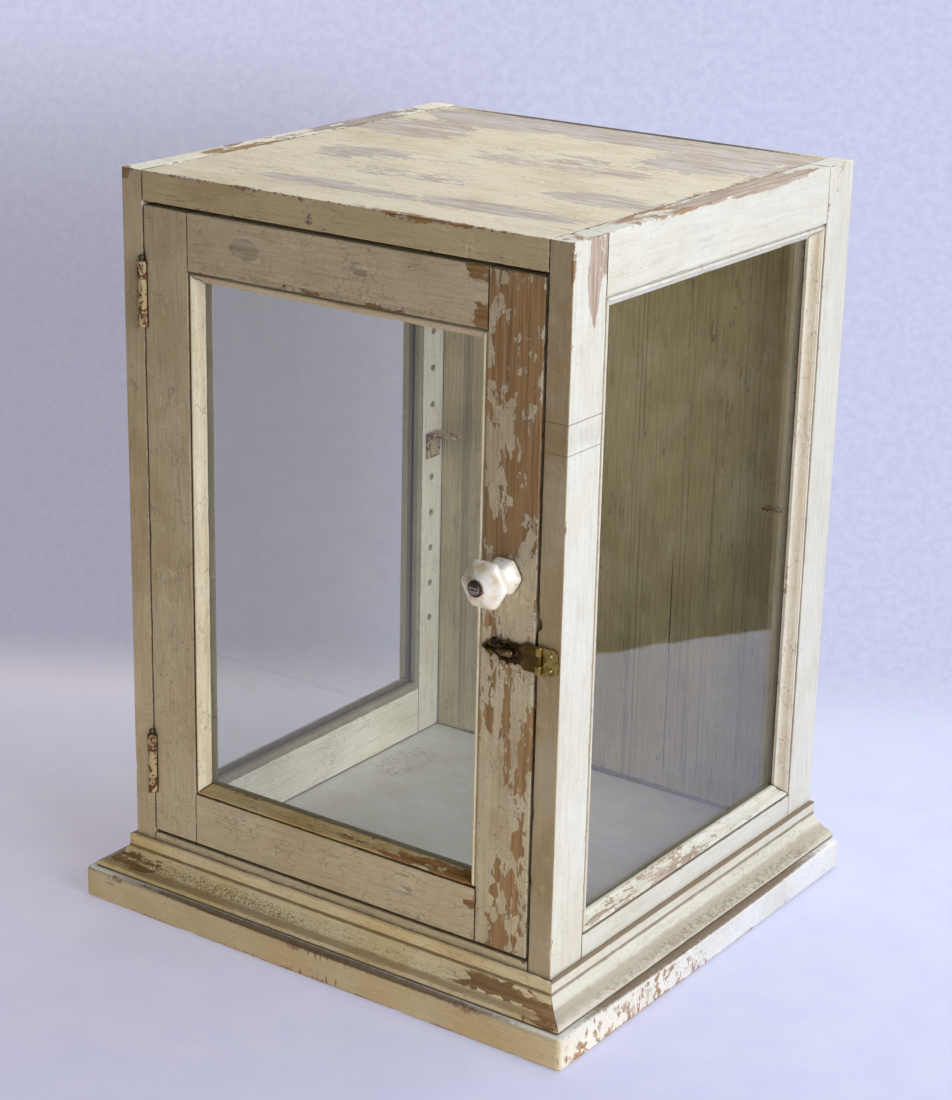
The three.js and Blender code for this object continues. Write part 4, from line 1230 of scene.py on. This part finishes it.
def build_relief(material):
    """The raised work on the hasp's tongue: a rim round its slot, a keel, veins and petals."""
    tongue = vertex_array(frame["nodes"]["catch_tongue"].data)
    tab_end = tongue[:, X] < tongue[:, X].min() + 30 * MM
    face = tongue[tab_end][:, Y].min()
    low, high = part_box("catch_tongue")
    level = (low[Z] + high[Z]) / 2
    tip = low[X]
    bm = bmesh.new()

    def stroke(points, radii):
        path = [(tip + along * MM, face, level + up * MM) for along, up in points]
        bead(bm, path, [radius * MM for radius in radii])

    for side in (-1, 1):
        fine_rim = [(row[0], row[1] * side) for row in smooth_rows(SLOT_RIM, 4)]
        stroke(fine_rim, [0.75] * len(fine_rim))
        for vein in VEINS:
            fine = [(along, up * side) for along, up in smooth_rows(vein, 3)]
            stroke(fine, np.linspace(0.75, 0.35, len(fine)))
    stroke(KEEL, [0.3, 0.75, 0.9, 0.6])
    mesh = mesh_from(bm, "catch_relief_mesh")
    mesh.materials.append(material)
    shade_smooth(mesh)
    relief = add_object("catch_relief", mesh)
    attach(relief, frame["nodes"]["catch_tongue"]["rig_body"])


def build_hardware():
    iron = painted_iron_material("painted_iron", 0.6)
    rusty = painted_iron_material("rusty_iron", 0.54)
    steel = metal_material("dark_steel", (150, 140, 124), (58, 48, 40), 0.6, 0.08, 0.38)
    bronze = metal_material(
        "catch_bronze", (128, 102, 54), (46, 34, 20), 0.8, 0.08, 0.3, tab_from=TAB_STARTS
    )
    brass = metal_material("catch_brass", (172, 146, 80), (108, 88, 42), 0.9, -0.02, 0.26)
    worn_steel = metal_material("worn_steel", (168, 150, 136), (84, 70, 62), 0.7, -0.02, 0.24)
    nail_iron = metal_material("nail_iron", (96, 78, 56), (32, 26, 20), 0.4, 0.1, 0.24)
    bright_brass = metal_material("bright_brass", (236, 204, 136), (190, 156, 92), 1.0, -0.12, 0.2)
    dull_brass = metal_material("dull_brass", (158, 126, 84), (62, 46, 30), 0.9, 0.06, 0.22)
    milk = milk_glass_material()
    for word in ("upper", "lower"):
        dress_cad(f"hinge_{word}_post_leaf", rusty, 0.25)
        dress_cad(f"hinge_{word}_door_leaf", iron, 0.25)
        dress_cad(f"hinge_{word}_pin", steel, 0.2)
    build_knob(milk)
    for node in ("knob_washer", "knob_nut"):
        dress_cad(node, steel, 0.2)
    dress_cad("knob_bolt", worn_steel, 0.2)
    dress_cad("catch_tongue", bronze, 0.25)
    build_relief(bronze)
    dress_cad("old_nail", nail_iron, 0.1)
    for node in ("catch_post_plate", "catch_pin"):
        dress_cad(node, brass, 0.2)
    for node in ("catch_nail_upper", "catch_nail_lower"):
        dress_cad(node, bright_brass, 0.2)
    dress_cad("catch_stud", dull_brass, 0.2)
    for side in ("left", "right"):
        dress_cad(f"shelf_bracket_{side}", iron, 0.25)


# ---------- stage, light and camera
SWEEP_TURN = math.radians(31.3)  # the paper lies square to this azimuth
PAPER_EDGE = 0.718  # from the cabinet's centre to the paper's right-hand end
HORIZON = (207, 210, 236)  # the tone past the end of the floor
STAND_OFF = 1.846  # from the camera to the cabinet's centre, square to the paper's crease
AIM_OFFSET = 0.118  # how far to the right of the cabinet's centre the camera stands
EYE_LEVEL = 0.92  # the camera's height
NEAREST = 1.6  # paper nearer than this, seen from behind the cabinet, takes the tone at this depth


def far_paper(g, across, back, spot):
    """The far tones: a pale felted wall with a soft grey shadow on its left, and a paler floor."""
    depth = g.math("MAXIMUM", g.add(back, STAND_OFF), NEAREST)
    bearing = g.math("DIVIDE", g.minus(across, AIM_OFFSET), depth)
    # painted light: wall and floor run paler to the right, where the light comes from, and darker
    # to the left
    tone = g.step(bearing, -0.25, 0.12)
    wall = g.colour(tone, srgb(206, 207, 232), srgb(208, 212, 240))
    shade = g.times(g.step(depth, 7.0, 3.6), g.step(bearing, -0.02, -0.16))
    wall = g.colour(g.times(shade, 0.95), wall, srgb(163, 161, 176))
    rise = g.math("DIVIDE", EYE_LEVEL, depth)
    screen = g.node("ShaderNodeCombineXYZ", {0: bearing, 1: rise}).outputs[0]
    felted = g.noise(screen, 270, 4, 0.72)
    thin_felt = g.colour(0.13, wall, srgb(120, 120, 160))
    wall = g.colour(g.step(felted, 0.34, 0.66), thin_felt, wall)
    floor_far = g.colour(tone, srgb(208, 201, 210), srgb(218, 226, 252))
    floor_near = g.colour(tone, srgb(200, 199, 226), srgb(210, 214, 244))
    glow = g.colour(g.step(back, 0.30, 0.52), floor_far, wall)
    glow = g.colour(g.step(back, 0.1, -0.5), glow, floor_near)
    return g.colour(g.step(spot, 7.2, 8.9), glow, srgb(*HORIZON))


def near_paper(g, place, parts, spot, diffuse_ray):
    """The felt round the cabinet. Light that it throws back is warm, and warmest in front."""
    fibre = g.noise(place, 130, 5, 0.7)
    mottle = g.noise(place, 22, 4, 0.6)
    felt = g.colour(g.step(mottle, 0.3, 0.7), srgb(228, 229, 252), srgb(218, 221, 250))
    felt = g.colour(g.times(fibre, 0.12), felt, srgb(170, 168, 196))
    right_side = g.step(g.add(parts[0], g.times(parts[1], 0.8)), 0.02, 0.3)
    bounce = g.colour(right_side, (0.98, 0.82, 0.62, 1), felt)
    seen_tone = g.colour(diffuse_ray, felt, bounce)
    nap = g.bump(g.times(fibre, 0.2 * MM))
    lit = g.node("ShaderNodeBsdfDiffuse", {"Color": seen_tone, "Roughness": 0.6, "Normal": nap})
    warmth = g.times(g.times(g.inverse(right_side), g.step(spot, 0.9, 0.4)), diffuse_ray)
    warm = {"Color": (1.0, 0.87, 0.70, 1), "Strength": g.times(warmth, 0.5)}
    card = g.node("ShaderNodeEmission", warm)
    return g.node("ShaderNodeAddShader", {0: lit.outputs[0], 1: card.outputs[0]}).outputs[0]


def paper_material():
    """Pale lavender felt paper: an even tone far off, and none in mirrors past its end."""
    g = Graph("paper")
    place = g.place()
    parts = g.parts(place)
    cosine, sine = math.cos(SWEEP_TURN), math.sin(SWEEP_TURN)
    across = g.add(g.times(parts[0], cosine), g.times(parts[1], sine))
    back = g.add(g.times(parts[0], -sine), g.times(parts[1], cosine))
    spot = g.node("ShaderNodeVectorMath", {0: place}, operation="LENGTH").outputs["Value"]
    path = g.node("ShaderNodeLightPath", {}).outputs
    far = g.math("MAXIMUM", g.step(spot, 0.55, 1.0), g.step(back, 0.28, 0.42))
    even = g.times(g.lerp(far, 0.5, 1.0), path["Is Camera Ray"])
    near = near_paper(g, place, parts, spot, path["Is Diffuse Ray"])
    tone = far_paper(g, across, back, spot)
    shine = g.node("ShaderNodeEmission", {"Color": tone, "Strength": 1.0})
    paper = g.node("ShaderNodeMixShader", {0: even, 1: near, 2: shine.outputs[0]}).outputs[0]
    room = {"Color": (0.012, 0.012, 0.013, 1), "Strength": 1.0}
    dark = g.node("ShaderNodeEmission", room).outputs[0]
    end = g.step(across, PAPER_EDGE - 0.004, PAPER_EDGE + 0.004)
    ended = g.times(end, path["Is Glossy Ray"])
    return g.finish(g.node("ShaderNodeMixShader", {0: ended, 1: paper, 2: dark}).outputs[0])


def build_stage():
    bm = bmesh.new()
    segments = 48
    angles = [2 * math.pi * i / segments for i in range(segments)]
    loops = []
    for radius in (0.3, 0.6, 1.0, 2.0, 4.0, 9.0):
        ring = [(radius * math.cos(a), radius * math.sin(a), 0) for a in angles]
        loops.append([bm.verts.new(point) for point in ring])
    bm.faces.new(loops[0])
    for inner, outer in zip(loops, loops[1:]):
        for i in range(segments):
            j = (i + 1) % segments
            bm.faces.new((inner[i], outer[i], outer[j], inner[j]))
    mesh = mesh_from(bm, "floor")
    mesh.materials.append(paper_material())
    floor = add_object("floor", mesh)
    floor.location.z = -0.2 * MM


def area_light(name, place, size, power, colour):
    data = bpy.data.lights.new(name, "AREA")
    data.shape = "SQUARE"
    data.size = size
    data.energy = power
    data.color = colour
    lamp = add_object(name, data)
    lamp.location = place
    aim = Vector((0, 0, 0.27)) - Vector(place)
    lamp.rotation_euler = aim.to_track_quat("-Z", "Y").to_euler()


def build_world():
    world = bpy.data.worlds.new("studio")
    world.use_nodes = True
    tree = world.node_tree
    tree.nodes.clear()
    path = tree.nodes.new("ShaderNodeLightPath")
    seen = tree.nodes.new("ShaderNodeBackground")
    seen.inputs["Color"].default_value = srgb(*HORIZON)
    felt = tree.nodes.new("ShaderNodeBackground")
    felt.inputs["Color"].default_value = (0.95, 0.93, 0.9, 1)
    felt.inputs["Strength"].default_value = 0.062
    mix = tree.nodes.new("ShaderNodeMixShader")
    tree.links.new(path.outputs["Is Camera Ray"], mix.inputs[0])
    tree.links.new(felt.outputs[0], mix.inputs[1])
    tree.links.new(seen.outputs[0], mix.inputs[2])
    out = tree.nodes.new("ShaderNodeOutputWorld")
    tree.links.new(mix.outputs[0], out.inputs["Surface"])
    bpy.context.scene.world = world


def build_lights():
    area_light("key", (2.15, -0.38, 1.1), 1.7, 48, (1.0, 0.99, 0.98))
    area_light("overhead", (0.1, 0.7, 1.9), 1.5, 27, (0.97, 0.98, 1.0))


CAMERA = dict(place=(1.0598, -1.5157, 0.9197), azimuth=34.96, elevation=19.13, roll=1.27, lens=84.3)


def build_camera():
    data = bpy.data.cameras.new("camera")
    data.lens = CAMERA["lens"]
    data.sensor_width = 36
    data.clip_end = 50
    camera = add_object("camera", data)
    a, e, r = (math.radians(CAMERA[key]) for key in ("azimuth", "elevation", "roll"))
    back = Vector((math.sin(a) * math.cos(e), -math.cos(a) * math.cos(e), math.sin(e)))
    right = Vector((math.cos(a), math.sin(a), 0))
    up = back.cross(right)
    rolled_right = right * math.cos(r) + up * math.sin(r)
    rolled_up = up * math.cos(r) - right * math.sin(r)
    turn = Matrix((rolled_right, rolled_up, back)).transposed()
    camera.matrix_world = Matrix.Translation(CAMERA["place"]) @ turn.to_4x4()
    bpy.context.scene.camera = camera
    bpy.context.scene.view_settings.view_transform = "Standard"


# ---------- assembly
build_boards()
build_mouldings()
build_glass()
build_hardware()
build_stage()
build_world()
build_lights()
build_camera()
